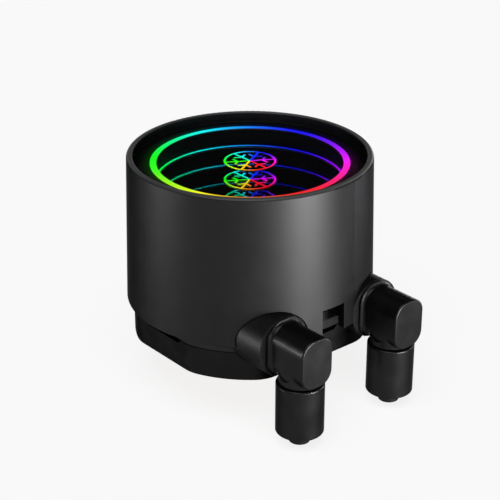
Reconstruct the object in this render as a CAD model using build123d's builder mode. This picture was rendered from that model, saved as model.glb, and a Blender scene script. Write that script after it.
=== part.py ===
"""Pump head of a liquid cooler: cold plate, pump, mirror lamp and two swivel elbows.

The origin is the centre of the cold plate's contact face, +Z goes up through the lamp
and the two hose ports look towards -Y. Sizes are in millimetres.
"""

import os
from math import asin, cos, degrees, radians, sin, sqrt

from build123d import *

os.makedirs("parts", exist_ok=True)

# Clearances
slide_gap = 0.1
screw_gap = 0.06
running_gap = 0.05
rotor_gap = 0.3

# Cold plate and its fins
plate_proud = 1.0
plate_rim = 1.7
plate_thickness = 3.2
fin_margin = 0.75
fin_height = 4.0
fin_thickness = 0.45
fin_pitch = 1.0
plate_edge = 0.3

# Base block
base_radius = 34.2
base_height = 8.7
side_flat_depth = 2.1
front_flat_depth = 5.1
corner_round = 10.0
base_edge = 0.5
seam_bevel = 0.2
chamber_gap = 1.75
chamber_corner = 3.0

# Bracket slots
slot_floor_width = 13.6
slot_height = 1.25
slot_depth = 3.5

# Seals
gasket_inset = 3.1
gasket_width = 1.2
gasket_height = 0.9
seal_radius = 22.3
seal_width = 1.3
seal_height = 1.0

# Jet plate
jet_ledge = 1.2
jet_thickness = 1.2
jet_slit_margin = 1.25
jet_slit_width = 1.6

# Screws
plate_screw_count = 8
plate_screw_inset = 2.7
plate_screw_radius = 1.0
plate_screw_head = 1.9
plate_screw_length = 5.0
body_screw_inset = 4.0
body_screw_angles = (25, 65, 115, 155, 205, 335)
body_screw_radius = 1.5
body_screw_head = 2.5
body_screw_head_height = 2.0
body_screw_recess = 4.0
body_screw_bite = 6.0
stack_screw_angles = (90, 210, 330)
stack_screw_radius = 1.25
stack_screw_head = 2.3
stack_screw_head_height = 1.2
stack_screw_bite = 6.0
stack_screw_inset = 1.3
socket_depth = 0.7

# Pump housing
flange_height = 2.6
body_side_gap = 0.8
body_height = 10.3
volute_plate_radius = 16.5
volute_plate_thickness = 1.2
volute_outlet_radius = 2.4
volute_outlet_offset = 9.0
impeller_room_radius = 14.0
impeller_room_height = 5.6
can_share = 0.41
can_wall = 1.0
can_roof = 1.5
can_board_gap = 2.0
stator_seat_height = 1.8
can_round = 0.5
post_radius = 3.2
post_gap = 0.4
port_pad_width = 15.6
port_pad_height = 3.1
cable_channel_width = 4.4
cable_channel_depth = 3.0

# Ports and swivel elbows
fitting_offset = 17.3
port_height = 13.0
boss_radius = 8.65
boss_face = 34.85
boss_step = 23.5
boss_tail = 15.6
boss_edge = 0.25
swivel_radius = 4.8
spigot_length = 9.7
water_radius = 3.0
port_reach = 13.0
duct_width = 4.6
duct_height = 4.2
duct_end = (7.0, 7.0)
block_width = 10.8
block_height = 14.7
block_round = 4.4
block_length = 13.15
block_front_round = 0.5
root_gap = 0.3
root_plate = 0.3
root_spread = 1.2
root_round = 1.1
tail_setback = 6.45
neck_radius = 6.0
neck_drop = 0.1
pad_drop = 3.45
neck_groove_radius = 5.3
neck_groove_height = 0.4
seal_groove_at = 4.0
seal_section = 0.88
snap_ring_at = 7.2
snap_ring_radius = 5.6
snap_ring_thickness = 0.8
snap_ring_wall = 1.4
snap_ring_mouth = 3.0
ferrule_radius = 6.75
ferrule_wall = 0.55
ferrule_length = 15.2
ferrule_lip = 1.2
ferrule_top_round = 0.5
ferrule_end_round = 0.3
collar_radius = 3.8
barb_radius = 2.95
barb_ridge = 0.6
barb_ridge_count = 3
barb_pitch = 2.6
barb_lead = 1.0
barb_taper = 2.1
barb_tail = 3.35
barb_bore = 1.9

# Rotor, shaft and stator
shaft_radius = 1.0
shaft_seat = 0.9
bush_wall = 1.6
washer_radius = 2.5
washer_thickness = 0.5
hub_wall = 1.4
impeller_radius = 12.4
impeller_disc = 1.0
blade_count = 7
blade_height = 3.4
blade_thickness = 0.8
blade_sweep = 48.0
blade_middle_sweep = 17.3
magnet_lift = 0.8
magnet_drop = 2.6
magnet_bevel = 0.5
stator_height = 8.0
yoke_share = 0.2
tooth_count = 6
tooth_width = 3.2
tooth_gap = 0.2
shoe_width = 7.0
shoe_depth = 1.2
coil_wall = 1.2
coil_gap = 0.05
coil_end_gap = 0.3
coil_round = 0.5

# Control board and what it carries
board_side_gap = 2.2
board_room = 7.8
board_thickness = 1.6
board_notch_width = 8.0
board_notch_depth = 4.0
chip_side = 7.0
chip_height = 1.0
capacitor_radius = 2.5
capacitor_height = 5.4
capacitor_offset = 14.0
capacitor_pitch = 7.5
choke_side = 4.6
choke_height = 2.4
choke_offset = 14.0
choke_pitch = 7.0
header_width = 8.0
header_depth = 4.2
header_height = 5.0
header_inset = 12.0

# Outer shell
shell_height = 43.5
shell_top_radius = 35.0
shell_bottom_radius = 36.15
shell_bottom_wall = 2.3
rim_width = 1.8
rim_drop = 0.3
rim_round = 0.9
glass_ledge = 0.8
arch_gap = 0.3
notch_width = 8.1
notch_height = 8.15
notch_round = 0.5
shell_boss_radius = 3.0
shell_boss_drop = 0.3
shell_boss_web = 2.4
foot_edge = 0.15

# Mirror lamp
glass_depth = 1.6
glass_thickness = 1.2
glass_bevel = 0.2
mask_thickness = 0.15
ring_width = 1.9
ring_lip = 0.35
guide_web = 0.5
guide_foot = 1.8
guide_side_gap = 1.5
guide_drop = 3.6
mirror_gap = 3.0
mirror_thickness = 1.5
carrier_wall = 1.5
carrier_floor = 1.5
led_air = 0.3
led_height = 0.9
led_length = 3.0
led_width = 1.6
led_count = 24
led_board_thickness = 1.0
emblem_radius = 7.5
emblem_line = 0.65
emblem_thickness = 0.3
emblem_branch_offset = 3.5
emblem_branch = 2.3

# Cable grommet
grommet_width = 4.4
grommet_height = 4.6
grommet_depth = 2.4
grommet_bore = 1.6
grommet_round = 0.8

# Heights worked out from the sizes above
base_bottom = plate_proud
base_top = base_bottom + base_height
fins_top = plate_thickness + fin_height
jet_bottom = fins_top + 2 * slide_gap
shell_bottom = base_top + flange_height
shell_top = shell_bottom + shell_height
body_top = base_top + body_height
boss_axis = base_bottom + port_height
volute_top = base_top + volute_plate_thickness
impeller_room_top = volute_top + impeller_room_height
glass_top = shell_top - glass_depth
glass_bottom = glass_top - glass_thickness
mirror_top = glass_bottom - mirror_gap
mirror_bottom = mirror_top - mirror_thickness
guide_bottom = glass_bottom - guide_drop
led_board_top = guide_bottom - led_air - led_height
led_board_bottom = led_board_top - led_board_thickness
carrier_bottom = led_board_bottom - carrier_floor
stack_screw_seat = mirror_bottom - stack_screw_head_height - slide_gap
board_top = carrier_bottom - board_room
post_top = board_top - board_thickness
can_top = post_top - can_board_gap
can_room_top = can_top - can_roof
stator_bottom = body_top + stator_seat_height
stator_top = stator_bottom + stator_height
shell_boss_top = body_top - shell_boss_drop

# Radii and widths worked out from the shell inwards and from the base inwards
side_flat = base_radius - side_flat_depth
back_flat = side_flat
front_flat = base_radius - front_flat_depth
rim_inner_radius = shell_top_radius - rim_width
inner_top_radius = rim_inner_radius - glass_ledge
inner_bottom_radius = shell_bottom_radius - shell_bottom_wall
inner_slope = (inner_top_radius - inner_bottom_radius) / (glass_bottom - shell_bottom)
inner_lamp_radius = inner_top_radius - inner_slope * (glass_bottom - carrier_bottom)
glass_radius = rim_inner_radius - 2 * slide_gap
stack_radius = min(inner_top_radius, inner_lamp_radius) - 2 * slide_gap
guide_foot_outer = stack_radius - guide_side_gap
guide_foot_inner = guide_foot_outer - guide_foot
ring_outer_radius = guide_foot_inner - guide_web
ring_inner_radius = ring_outer_radius - ring_width
carrier_wall_outer = guide_foot_inner - slide_gap
carrier_wall_inner = carrier_wall_outer - carrier_wall
mirror_radius = carrier_wall_inner - slide_gap
board_radius = stack_radius - board_side_gap
stack_screw_circle = mirror_radius - stack_screw_head - stack_screw_inset
stator_radius = stack_screw_circle - post_radius - post_gap
yoke_width = yoke_share * stator_radius
can_inner_radius = can_share * stator_radius
can_outer_radius = can_inner_radius + can_wall
body_screw_circle = base_radius - body_screw_inset
body_radius = body_screw_circle - shell_boss_radius - body_side_gap
plate_radius = body_screw_circle - body_screw_head - plate_rim
plate_screw_circle = plate_radius - plate_screw_inset
gasket_radius = plate_screw_circle - gasket_inset
chamber_reach = gasket_radius - gasket_width / 2 - chamber_gap
chamber_width = 2 * ((chamber_reach - chamber_corner) / sqrt(2) + chamber_corner)
fin_field = chamber_width - 2 * fin_margin
jet_width = chamber_width + 2 * jet_ledge
jet_slit_length = fin_field - 2 * jet_slit_margin


def polar(radius, angle):
    """Point in the XY plane at a radius and an angle in degrees."""
    return (radius * cos(radians(angle)), radius * sin(radians(angle)))


plate_screw_spots = [
    polar(plate_screw_circle, 360 / plate_screw_count * i) for i in range(plate_screw_count)
]
body_screw_spots = [polar(body_screw_circle, angle) for angle in body_screw_angles]
stack_screw_spots = [polar(stack_screw_circle, angle) for angle in stack_screw_angles]
port_spots = [(-fitting_offset, boss_axis), (fitting_offset, boss_axis)]

# The base block and the housing flange share this outline
with BuildSketch() as base_outline:
    Circle(base_radius)
    with Locations((0, (back_flat - front_flat) / 2)):
        Rectangle(2 * side_flat, front_flat + back_flat, mode=Mode.INTERSECT)
    fillet(base_outline.vertices(), corner_round)

# Base block
with BuildPart() as base_block:
    with BuildSketch(Plane.XY.offset(base_bottom)):
        add(base_outline.sketch)
    extrude(amount=base_height)
    fillet(base_block.edges().group_by(Axis.Z)[0], base_edge)
    chamfer(base_block.edges().group_by(Axis.Z)[-1], seam_bevel)
    # Recess of the cold plate, then the room over its fins
    with BuildSketch(Plane.XY.offset(base_bottom)):
        Circle(plate_radius + slide_gap)
    extrude(amount=plate_thickness - base_bottom, mode=Mode.SUBTRACT)
    with BuildSketch(Plane.XY.offset(plate_thickness)):
        RectangleRounded(chamber_width, chamber_width, chamber_corner)
    extrude(amount=base_height, mode=Mode.SUBTRACT)
    with BuildSketch(Plane.XY.offset(jet_bottom)):
        RectangleRounded(jet_width + 2 * slide_gap, jet_width + 2 * slide_gap, chamber_corner)
    extrude(amount=base_height, mode=Mode.SUBTRACT)
    # Grooves of the two seals
    with BuildSketch(Plane.XY.offset(plate_thickness)):
        Circle(gasket_radius + gasket_width / 2)
        Circle(gasket_radius - gasket_width / 2, mode=Mode.SUBTRACT)
    extrude(amount=gasket_height, mode=Mode.SUBTRACT)
    with BuildSketch(Plane.XY.offset(base_top - seal_height)):
        Circle(seal_radius + seal_width / 2)
        Circle(seal_radius - seal_width / 2, mode=Mode.SUBTRACT)
    extrude(amount=seal_height, mode=Mode.SUBTRACT)
    # Troughs under the port bosses
    with BuildSketch(Plane.XZ.offset(boss_step - slide_gap)):
        with Locations(*port_spots):
            Circle(boss_radius + slide_gap)
    extrude(amount=base_radius, mode=Mode.SUBTRACT)
    # Screw holes
    with BuildSketch(Plane.XY.offset(plate_thickness)):
        with Locations(*plate_screw_spots):
            Circle(plate_screw_radius + screw_gap)
    extrude(amount=plate_screw_length - plate_thickness + slide_gap, mode=Mode.SUBTRACT)
    with BuildSketch(Plane.XY.offset(base_bottom)):
        with Locations(*body_screw_spots):
            Circle(body_screw_radius + screw_gap)
    extrude(amount=base_height, mode=Mode.SUBTRACT)
    with BuildSketch(Plane.XY.offset(base_bottom)):
        with Locations(*body_screw_spots):
            Circle(body_screw_head + slide_gap)
    extrude(amount=body_screw_recess, mode=Mode.SUBTRACT)
    # Bracket slots, one in each flat, with sloping ends
    for angle, reach in ((0, side_flat), (90, back_flat), (180, side_flat), (270, front_flat)):
        across = (-sin(radians(angle)), cos(radians(angle)), 0)
        outwards = (cos(radians(angle)), sin(radians(angle)), 0)
        mouth = Plane(origin=(*polar(reach, angle), base_top), x_dir=across, z_dir=outwards)
        half = slot_floor_width / 2
        with BuildSketch(mouth):
            with BuildLine():
                Polyline(
                    (-half, -slot_height),
                    (half, -slot_height),
                    (half + slot_height, 0),
                    (-half - slot_height, 0),
                    close=True,
                )
            make_face()
        extrude(amount=-slot_depth, mode=Mode.SUBTRACT)
base_block.part.label = "base_block"
export_step(base_block.part, "parts/base_block.step")

# Cold plate with its field of fins
with BuildPart() as cold_plate:
    with BuildSketch():
        Circle(plate_radius)
    extrude(amount=plate_thickness)
    chamfer(cold_plate.edges().group_by(Axis.Z)[0], plate_edge)
    fin_count = int(fin_field / fin_pitch)
    with BuildSketch(Plane.XY.offset(plate_thickness)):
        with GridLocations(fin_pitch, 0, fin_count, 1):
            Rectangle(fin_thickness, fin_field)
    extrude(amount=fin_height)
    with BuildSketch():
        with Locations(*plate_screw_spots):
            Circle(plate_screw_radius + screw_gap)
    extrude(amount=plate_thickness, mode=Mode.SUBTRACT)
    with Locations(*plate_screw_spots):
        Cone(
            plate_screw_head + screw_gap,
            plate_screw_radius + screw_gap,
            plate_screw_head - plate_screw_radius,
            align=(Align.CENTER, Align.CENTER, Align.MIN),
            mode=Mode.SUBTRACT,
        )
cold_plate.part.label = "cold_plate"
export_step(cold_plate.part, "parts/cold_plate.step")

# Countersunk screws of the cold plate, flush with its face
with BuildPart() as plate_screws:
    with Locations(*plate_screw_spots):
        Cylinder(
            plate_screw_radius,
            plate_screw_length,
            align=(Align.CENTER, Align.CENTER, Align.MIN),
        )
        Cone(
            plate_screw_head,
            plate_screw_radius,
            plate_screw_head - plate_screw_radius,
            align=(Align.CENTER, Align.CENTER, Align.MIN),
        )
    with BuildSketch():
        with Locations(*plate_screw_spots):
            RegularPolygon(plate_screw_radius, 6)
    extrude(amount=socket_depth, mode=Mode.SUBTRACT)
plate_screws.part.label = "plate_screws"
export_step(plate_screws.part, "parts/plate_screws.step")

# Flat gasket between cold plate and base
with BuildPart() as plate_gasket:
    with BuildSketch(Plane.XY.offset(plate_thickness)):
        Circle(gasket_radius + gasket_width / 2 - running_gap)
        Circle(gasket_radius - gasket_width / 2 + running_gap, mode=Mode.SUBTRACT)
    extrude(amount=gasket_height)
plate_gasket.part.label = "plate_gasket"
export_step(plate_gasket.part, "parts/plate_gasket.step")

# Seal between base and housing
with BuildPart() as chamber_seal:
    with BuildSketch(Plane.XY.offset(base_top - seal_height)):
        Circle(seal_radius + seal_width / 2 - running_gap)
        Circle(seal_radius - seal_width / 2 + running_gap, mode=Mode.SUBTRACT)
    extrude(amount=seal_height)
chamber_seal.part.label = "chamber_seal"
export_step(chamber_seal.part, "parts/chamber_seal.step")

# Jet plate over the fins, with its slit across them
with BuildPart() as jet_plate:
    with BuildSketch(Plane.XY.offset(jet_bottom)):
        RectangleRounded(jet_width, jet_width, chamber_corner)
        SlotOverall(jet_slit_length, jet_slit_width, mode=Mode.SUBTRACT)
    extrude(amount=jet_thickness)
jet_plate.part.label = "jet_plate"
export_step(jet_plate.part, "parts/jet_plate.step")

# Volute plate: floor of the impeller room, with the outlet to the jet plate
with BuildPart() as volute_plate:
    with BuildSketch(Plane.XY.offset(base_top)):
        Circle(volute_plate_radius)
        with Locations((0, volute_outlet_offset)):
            Circle(volute_outlet_radius, mode=Mode.SUBTRACT)
    extrude(amount=volute_plate_thickness)
    with BuildSketch(Plane.XY.offset(volute_top - shaft_seat)):
        Circle(shaft_radius + screw_gap)
    extrude(amount=shaft_seat, mode=Mode.SUBTRACT)
volute_plate.part.label = "volute_plate"
export_step(volute_plate.part, "parts/volute_plate.step")

# Pump housing: flange, pump body, rotor can, posts and the two port bosses
with BuildPart() as pump_housing:
    with BuildSketch(Plane.XY.offset(base_top)):
        add(base_outline.sketch)
    extrude(amount=flange_height)
    chamfer(pump_housing.edges().group_by(Axis.Z)[0], seam_bevel)
    with BuildSketch(Plane.XY.offset(base_top)):
        Circle(body_radius)
    extrude(amount=body_height)
    with BuildSketch(Plane.XY.offset(shell_bottom)):
        with Locations((0, -front_flat)):
            Rectangle(port_pad_width, front_flat, align=(Align.CENTER, Align.MIN))
        Circle(body_radius - can_wall, mode=Mode.SUBTRACT)
    extrude(amount=port_pad_height)
    with BuildSketch(Plane.XY.offset(body_top)):
        Circle(stator_radius)
        Circle(stator_radius - yoke_width + slide_gap, mode=Mode.SUBTRACT)
    extrude(amount=stator_seat_height)
    with BuildSketch(Plane.XY.offset(body_top)):
        Circle(can_outer_radius)
    extrude(amount=can_top - body_top)
    fillet(pump_housing.edges().group_by(Axis.Z)[-1], can_round)
    with BuildSketch(Plane.XY.offset(body_top)):
        with Locations(*stack_screw_spots):
            Circle(post_radius)
    extrude(amount=post_top - body_top)
    # Port bosses: whole in front of the base's troughs, cut level behind them
    with BuildSketch(Plane.XZ.offset(boss_tail)):
        with Locations(*port_spots):
            Circle(boss_radius)
        with Locations((0, base_top)):
            Rectangle(2 * base_radius, 3 * boss_radius, align=(Align.CENTER, Align.MIN), mode=Mode.INTERSECT)
    extrude(amount=boss_step - boss_tail)
    with BuildSketch(Plane.XZ.offset(boss_step)):
        with Locations(*port_spots):
            Circle(boss_radius)
    extrude(amount=boss_face - boss_step)
    chamfer(pump_housing.edges().group_by(Axis.Y)[0], boss_edge)
    # Rooms of the pump
    with BuildSketch(Plane.XY.offset(base_top)):
        Circle(volute_plate_radius + slide_gap)
    extrude(amount=volute_plate_thickness, mode=Mode.SUBTRACT)
    with BuildSketch(Plane.XY.offset(volute_top)):
        Circle(impeller_room_radius)
    extrude(amount=impeller_room_height, mode=Mode.SUBTRACT)
    with BuildSketch(Plane.XY.offset(impeller_room_top)):
        Circle(can_inner_radius)
    extrude(amount=can_room_top - impeller_room_top, mode=Mode.SUBTRACT)
    with BuildSketch(Plane.XY.offset(can_room_top)):
        Circle(shaft_radius + screw_gap)
    extrude(amount=shaft_seat, mode=Mode.SUBTRACT)
    # Port bores, their snap ring grooves and the ducts to the impeller room
    with BuildSketch(Plane.XZ.offset(boss_face - spigot_length - slide_gap)):
        with Locations(*port_spots):
            Circle(swivel_radius + running_gap)
    extrude(amount=spigot_length + boss_radius, mode=Mode.SUBTRACT)
    with BuildSketch(Plane.XZ.offset(boss_face - snap_ring_at - snap_ring_thickness / 2 - slide_gap)):
        with Locations(*port_spots):
            Circle(snap_ring_radius + slide_gap)
    extrude(amount=snap_ring_thickness + 2 * slide_gap, mode=Mode.SUBTRACT)
    with BuildSketch(Plane.XZ.offset(port_reach)):
        with Locations(*port_spots):
            Circle(water_radius)
    extrude(amount=boss_face - port_reach, mode=Mode.SUBTRACT)
    for side in (-1, 1):
        run = (fitting_offset - duct_end[0], port_reach + water_radius - duct_end[1])
        length = sqrt(run[0] ** 2 + run[1] ** 2)
        turn = side * degrees(asin(-run[1] / length))
        middle = (side * (fitting_offset + duct_end[0]) / 2, -(port_reach + water_radius + duct_end[1]) / 2)
        with BuildSketch(Plane.XY.offset(boss_axis - duct_height / 2)):
            with Locations(middle):
                SlotCenterToCenter(length, duct_width, rotation=turn)
        extrude(amount=duct_height, mode=Mode.SUBTRACT)
    # Cable channel up the front of the body
    with BuildSketch(Plane.XY.offset(shell_bottom + port_pad_height)):
        with Locations((0, -body_radius - slide_gap)):
            Rectangle(cable_channel_width, cable_channel_depth, align=(Align.CENTER, Align.MIN))
    extrude(amount=body_height, mode=Mode.SUBTRACT)
    # Screw holes
    with BuildSketch(Plane.XY.offset(base_top)):
        with Locations(*body_screw_spots):
            Circle(body_screw_radius + screw_gap)
    extrude(amount=flange_height, mode=Mode.SUBTRACT)
    with BuildSketch(Plane.XY.offset(post_top)):
        with Locations(*stack_screw_spots):
            Circle(stack_screw_radius + screw_gap)
    extrude(amount=-stack_screw_bite - slide_gap, mode=Mode.SUBTRACT)
pump_housing.part.label = "pump_housing"
export_step(pump_housing.part, "parts/pump_housing.step")

# Ceramic shaft, held in the volute plate and in the roof of the can
with BuildPart() as pump_shaft:
    with BuildSketch(Plane.XY.offset(volute_top - shaft_seat)):
        Circle(shaft_radius)
    extrude(amount=can_room_top + shaft_seat - volute_top + shaft_seat - slide_gap)
pump_shaft.part.label = "pump_shaft"
export_step(pump_shaft.part, "parts/pump_shaft.step")

rotor_bottom = volute_top + washer_thickness + slide_gap
rotor_top = can_room_top - washer_thickness - slide_gap
bush_inner = shaft_radius + running_gap
bush_outer = bush_inner + bush_wall
hub_radius = bush_outer + hub_wall
blade_bottom = rotor_bottom + impeller_disc
magnet_bottom = impeller_room_top + magnet_lift
magnet_top = rotor_top - magnet_drop
magnet_radius = can_inner_radius - rotor_gap

# Thrust washers at both ends of the rotor
with BuildPart() as thrust_washers:
    for height in (volute_top, can_room_top - washer_thickness):
        with BuildSketch(Plane.XY.offset(height)):
            Circle(washer_radius)
            Circle(shaft_radius + running_gap, mode=Mode.SUBTRACT)
        extrude(amount=washer_thickness)
thrust_washers.part.label = "thrust_washers"
export_step(thrust_washers.part, "parts/thrust_washers.step")

# Graphite bush that runs on the shaft
with BuildPart() as rotor_bush:
    with BuildSketch(Plane.XY.offset(rotor_bottom)):
        Circle(bush_outer)
        Circle(bush_inner, mode=Mode.SUBTRACT)
    extrude(amount=rotor_top - rotor_bottom)
rotor_bush.part.label = "rotor_bush"
export_step(rotor_bush.part, "parts/rotor_bush.step")

# Impeller: disc, swept blades and the hub that carries the magnet
with BuildPart() as impeller:
    with BuildSketch(Plane.XY.offset(rotor_bottom)):
        Circle(impeller_radius)
    extrude(amount=impeller_disc)
    with BuildSketch(Plane.XY.offset(rotor_bottom)):
        Circle(hub_radius)
    extrude(amount=magnet_top - rotor_bottom)
    blade_inner = hub_radius - blade_thickness / 2
    blade_outer = impeller_radius - blade_thickness
    blade_middle = (blade_inner + blade_outer) / 2
    with BuildSketch(Plane.XY.offset(blade_bottom)) as blades:
        for i in range(blade_count):
            start = 360 / blade_count * i
            with BuildLine():
                ThreePointArc(
                    polar(blade_inner, start),
                    polar(blade_middle, start - blade_middle_sweep),
                    polar(blade_outer, start - blade_sweep),
                )
                offset(amount=blade_thickness / 2)
            make_face()
    extrude(amount=blade_height)
    with BuildSketch(Plane.XY.offset(rotor_bottom)):
        Circle(bush_outer)
    extrude(amount=rotor_top - rotor_bottom, mode=Mode.SUBTRACT)
impeller.part.label = "impeller"
export_step(impeller.part, "parts/impeller.step")

# Ring magnet on the hub
with BuildPart() as rotor_magnet:
    with BuildSketch(Plane.XY.offset(magnet_bottom)):
        Circle(magnet_radius)
        Circle(hub_radius, mode=Mode.SUBTRACT)
    extrude(amount=magnet_top - magnet_bottom)
    chamfer(rotor_magnet.edges().filter_by(GeomType.CIRCLE).sort_by(SortBy.RADIUS)[-2:], magnet_bevel)
rotor_magnet.part.label = "rotor_magnet"
export_step(rotor_magnet.part, "parts/rotor_magnet.step")

# Stator core: yoke ring and toothed poles round the can
pole_face = can_outer_radius + tooth_gap
yoke_inner = stator_radius - yoke_width
with BuildPart() as stator_core:
    with BuildSketch(Plane.XY.offset(stator_bottom)):
        Circle(stator_radius)
        Circle(yoke_inner, mode=Mode.SUBTRACT)
        with PolarLocations((pole_face + yoke_inner + slide_gap) / 2, tooth_count):
            Rectangle(yoke_inner - pole_face + slide_gap, tooth_width)
        with PolarLocations(pole_face + shoe_depth / 2, tooth_count):
            Rectangle(shoe_depth, shoe_width)
        Circle(pole_face, mode=Mode.SUBTRACT)
    extrude(amount=stator_height)
stator_core.part.label = "stator_core"
export_step(stator_core.part, "parts/stator_core.step")

# Coils, one round each tooth
coil_start = pole_face + shoe_depth + coil_wall / 2
coil_end = yoke_inner - coil_end_gap
with BuildPart() as stator_coils:
    with BuildSketch(Plane.YZ.offset(coil_start)):
        with Locations((0, (stator_bottom + stator_top) / 2)):
            RectangleRounded(
                tooth_width + 2 * coil_gap + 2 * coil_wall,
                stator_height + 2 * coil_gap + 2 * coil_wall,
                coil_round,
            )
            Rectangle(tooth_width + 2 * coil_gap, stator_height + 2 * coil_gap, mode=Mode.SUBTRACT)
    one_coil = extrude(amount=coil_end - coil_start, mode=Mode.PRIVATE)
    for i in range(tooth_count):
        add(one_coil.rotate(Axis.Z, 360 / tooth_count * i))
stator_coils.part.label = "stator_coils"
export_step(stator_coils.part, "parts/stator_coils.step")

# Control board on the housing's posts
with BuildPart() as control_board:
    with BuildSketch(Plane.XY.offset(post_top)):
        Circle(board_radius)
        with Locations((0, -board_radius)):
            Rectangle(board_notch_width, 2 * board_notch_depth, mode=Mode.SUBTRACT)
        with Locations(*stack_screw_spots):
            Circle(stack_screw_radius + screw_gap, mode=Mode.SUBTRACT)
    extrude(amount=board_thickness)
control_board.part.label = "control_board"
export_step(control_board.part, "parts/control_board.step")

# Chip, capacitors, chokes and cable header on the control board
with BuildPart() as board_components:
    with BuildSketch(Plane.XY.offset(board_top)):
        Rectangle(chip_side, chip_side)
    extrude(amount=chip_height)
    with BuildSketch(Plane.XY.offset(board_top)):
        with Locations((-capacitor_offset, 0), (-capacitor_offset, capacitor_pitch)):
            Circle(capacitor_radius)
    extrude(amount=capacitor_height)
    with BuildSketch(Plane.XY.offset(board_top)):
        with Locations((choke_offset, 0), (choke_offset, -choke_pitch)):
            Rectangle(choke_side, choke_side)
    extrude(amount=choke_height)
    with BuildSketch(Plane.XY.offset(board_top)):
        with Locations((0, header_inset - board_radius)):
            Rectangle(header_width, header_depth)
    extrude(amount=header_height)
board_components.part.label = "board_components"
export_step(board_components.part, "parts/board_components.step")

# Mirror carrier: dish for the rear mirror, trough for the lamp board, three legs
with BuildPart() as mirror_carrier:
    with BuildSketch(Plane.XZ):
        with BuildLine():
            Polyline(
                (0, carrier_bottom),
                (stack_radius, carrier_bottom),
                (stack_radius, led_board_bottom),
                (carrier_wall_outer, led_board_bottom),
                (carrier_wall_outer, glass_bottom - ring_lip),
                (carrier_wall_inner, glass_bottom - ring_lip),
                (carrier_wall_inner, mirror_bottom),
                (0, mirror_bottom),
                close=True,
            )
        make_face()
    revolve(axis=Axis.Z)
    with BuildSketch(Plane.XY.offset(board_top)):
        with Locations(*stack_screw_spots):
            Circle(post_radius)
    extrude(amount=carrier_bottom - board_top)
    with BuildSketch(Plane.XY.offset(board_top)):
        with Locations(*stack_screw_spots):
            Circle(stack_screw_radius + screw_gap)
    extrude(amount=mirror_bottom - board_top, mode=Mode.SUBTRACT)
    with BuildSketch(Plane.XY.offset(stack_screw_seat)):
        with Locations(*stack_screw_spots):
            Circle(stack_screw_head + slide_gap)
    extrude(amount=mirror_bottom - stack_screw_seat, mode=Mode.SUBTRACT)
mirror_carrier.part.label = "mirror_carrier"
export_step(mirror_carrier.part, "parts/mirror_carrier.step")

# Long screws through carrier and control board into the posts
with BuildPart() as stack_screws:
    with BuildSketch(Plane.XY.offset(post_top - stack_screw_bite)):
        with Locations(*stack_screw_spots):
            Circle(stack_screw_radius)
    extrude(amount=stack_screw_seat - post_top + stack_screw_bite)
    with BuildSketch(Plane.XY.offset(stack_screw_seat)):
        with Locations(*stack_screw_spots):
            Circle(stack_screw_head)
    extrude(amount=stack_screw_head_height)
    with BuildSketch(Plane.XY.offset(stack_screw_seat + stack_screw_head_height)):
        with Locations(*stack_screw_spots):
            RegularPolygon(stack_screw_radius, 6)
    extrude(amount=-socket_depth, mode=Mode.SUBTRACT)
stack_screws.part.label = "stack_screws"
export_step(stack_screws.part, "parts/stack_screws.step")

# Rear mirror
with BuildPart() as rear_mirror:
    with BuildSketch(Plane.XY.offset(mirror_bottom)):
        Circle(mirror_radius)
    extrude(amount=mirror_thickness)
rear_mirror.part.label = "rear_mirror"
export_step(rear_mirror.part, "parts/rear_mirror.step")

# Lamp board and its chips, under the foot of the light guide
led_circle = (guide_foot_inner + guide_foot_outer) / 2
with BuildPart() as led_board:
    with BuildSketch(Plane.XY.offset(led_board_bottom)):
        Circle(stack_radius)
        Circle(carrier_wall_outer + slide_gap, mode=Mode.SUBTRACT)
    extrude(amount=led_board_thickness)
led_board.part.label = "led_board"
export_step(led_board.part, "parts/led_board.step")

with BuildPart() as led_chips:
    with BuildSketch(Plane.XY.offset(led_board_top)):
        with PolarLocations(led_circle, led_count):
            Rectangle(led_width, led_length)
    extrude(amount=led_height)
led_chips.part.label = "led_chips"
export_step(led_chips.part, "parts/led_chips.step")

# Light guide: thin visible lip, web and the foot that takes the light in
with BuildPart() as light_guide:
    with BuildSketch(Plane.XZ):
        with BuildLine():
            Polyline(
                (ring_inner_radius, glass_bottom),
                (ring_outer_radius, glass_bottom),
                (ring_outer_radius, glass_bottom - mask_thickness),
                (guide_foot_outer, glass_bottom - mask_thickness),
                (guide_foot_outer, guide_bottom),
                (guide_foot_inner, guide_bottom),
                (guide_foot_inner, glass_bottom - ring_lip),
                (ring_inner_radius, glass_bottom - ring_lip),
                close=True,
            )
        make_face()
    revolve(axis=Axis.Z)
light_guide.part.label = "light_guide"
export_step(light_guide.part, "parts/light_guide.step")

# Black mask film under the edge of the glass
with BuildPart() as mask_film:
    with BuildSketch(Plane.XY.offset(glass_bottom - mask_thickness)):
        Circle(stack_radius)
        Circle(ring_outer_radius, mode=Mode.SUBTRACT)
    extrude(amount=mask_thickness)
mask_film.part.label = "mask_film"
export_step(mask_film.part, "parts/mask_film.step")

# Front glass
with BuildPart() as front_glass:
    with BuildSketch(Plane.XY.offset(glass_bottom)):
        Circle(glass_radius)
    extrude(amount=glass_thickness)
    chamfer(front_glass.edges().group_by(Axis.Z)[-1], glass_bevel)
front_glass.part.label = "front_glass"
export_step(front_glass.part, "parts/front_glass.step")

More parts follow.
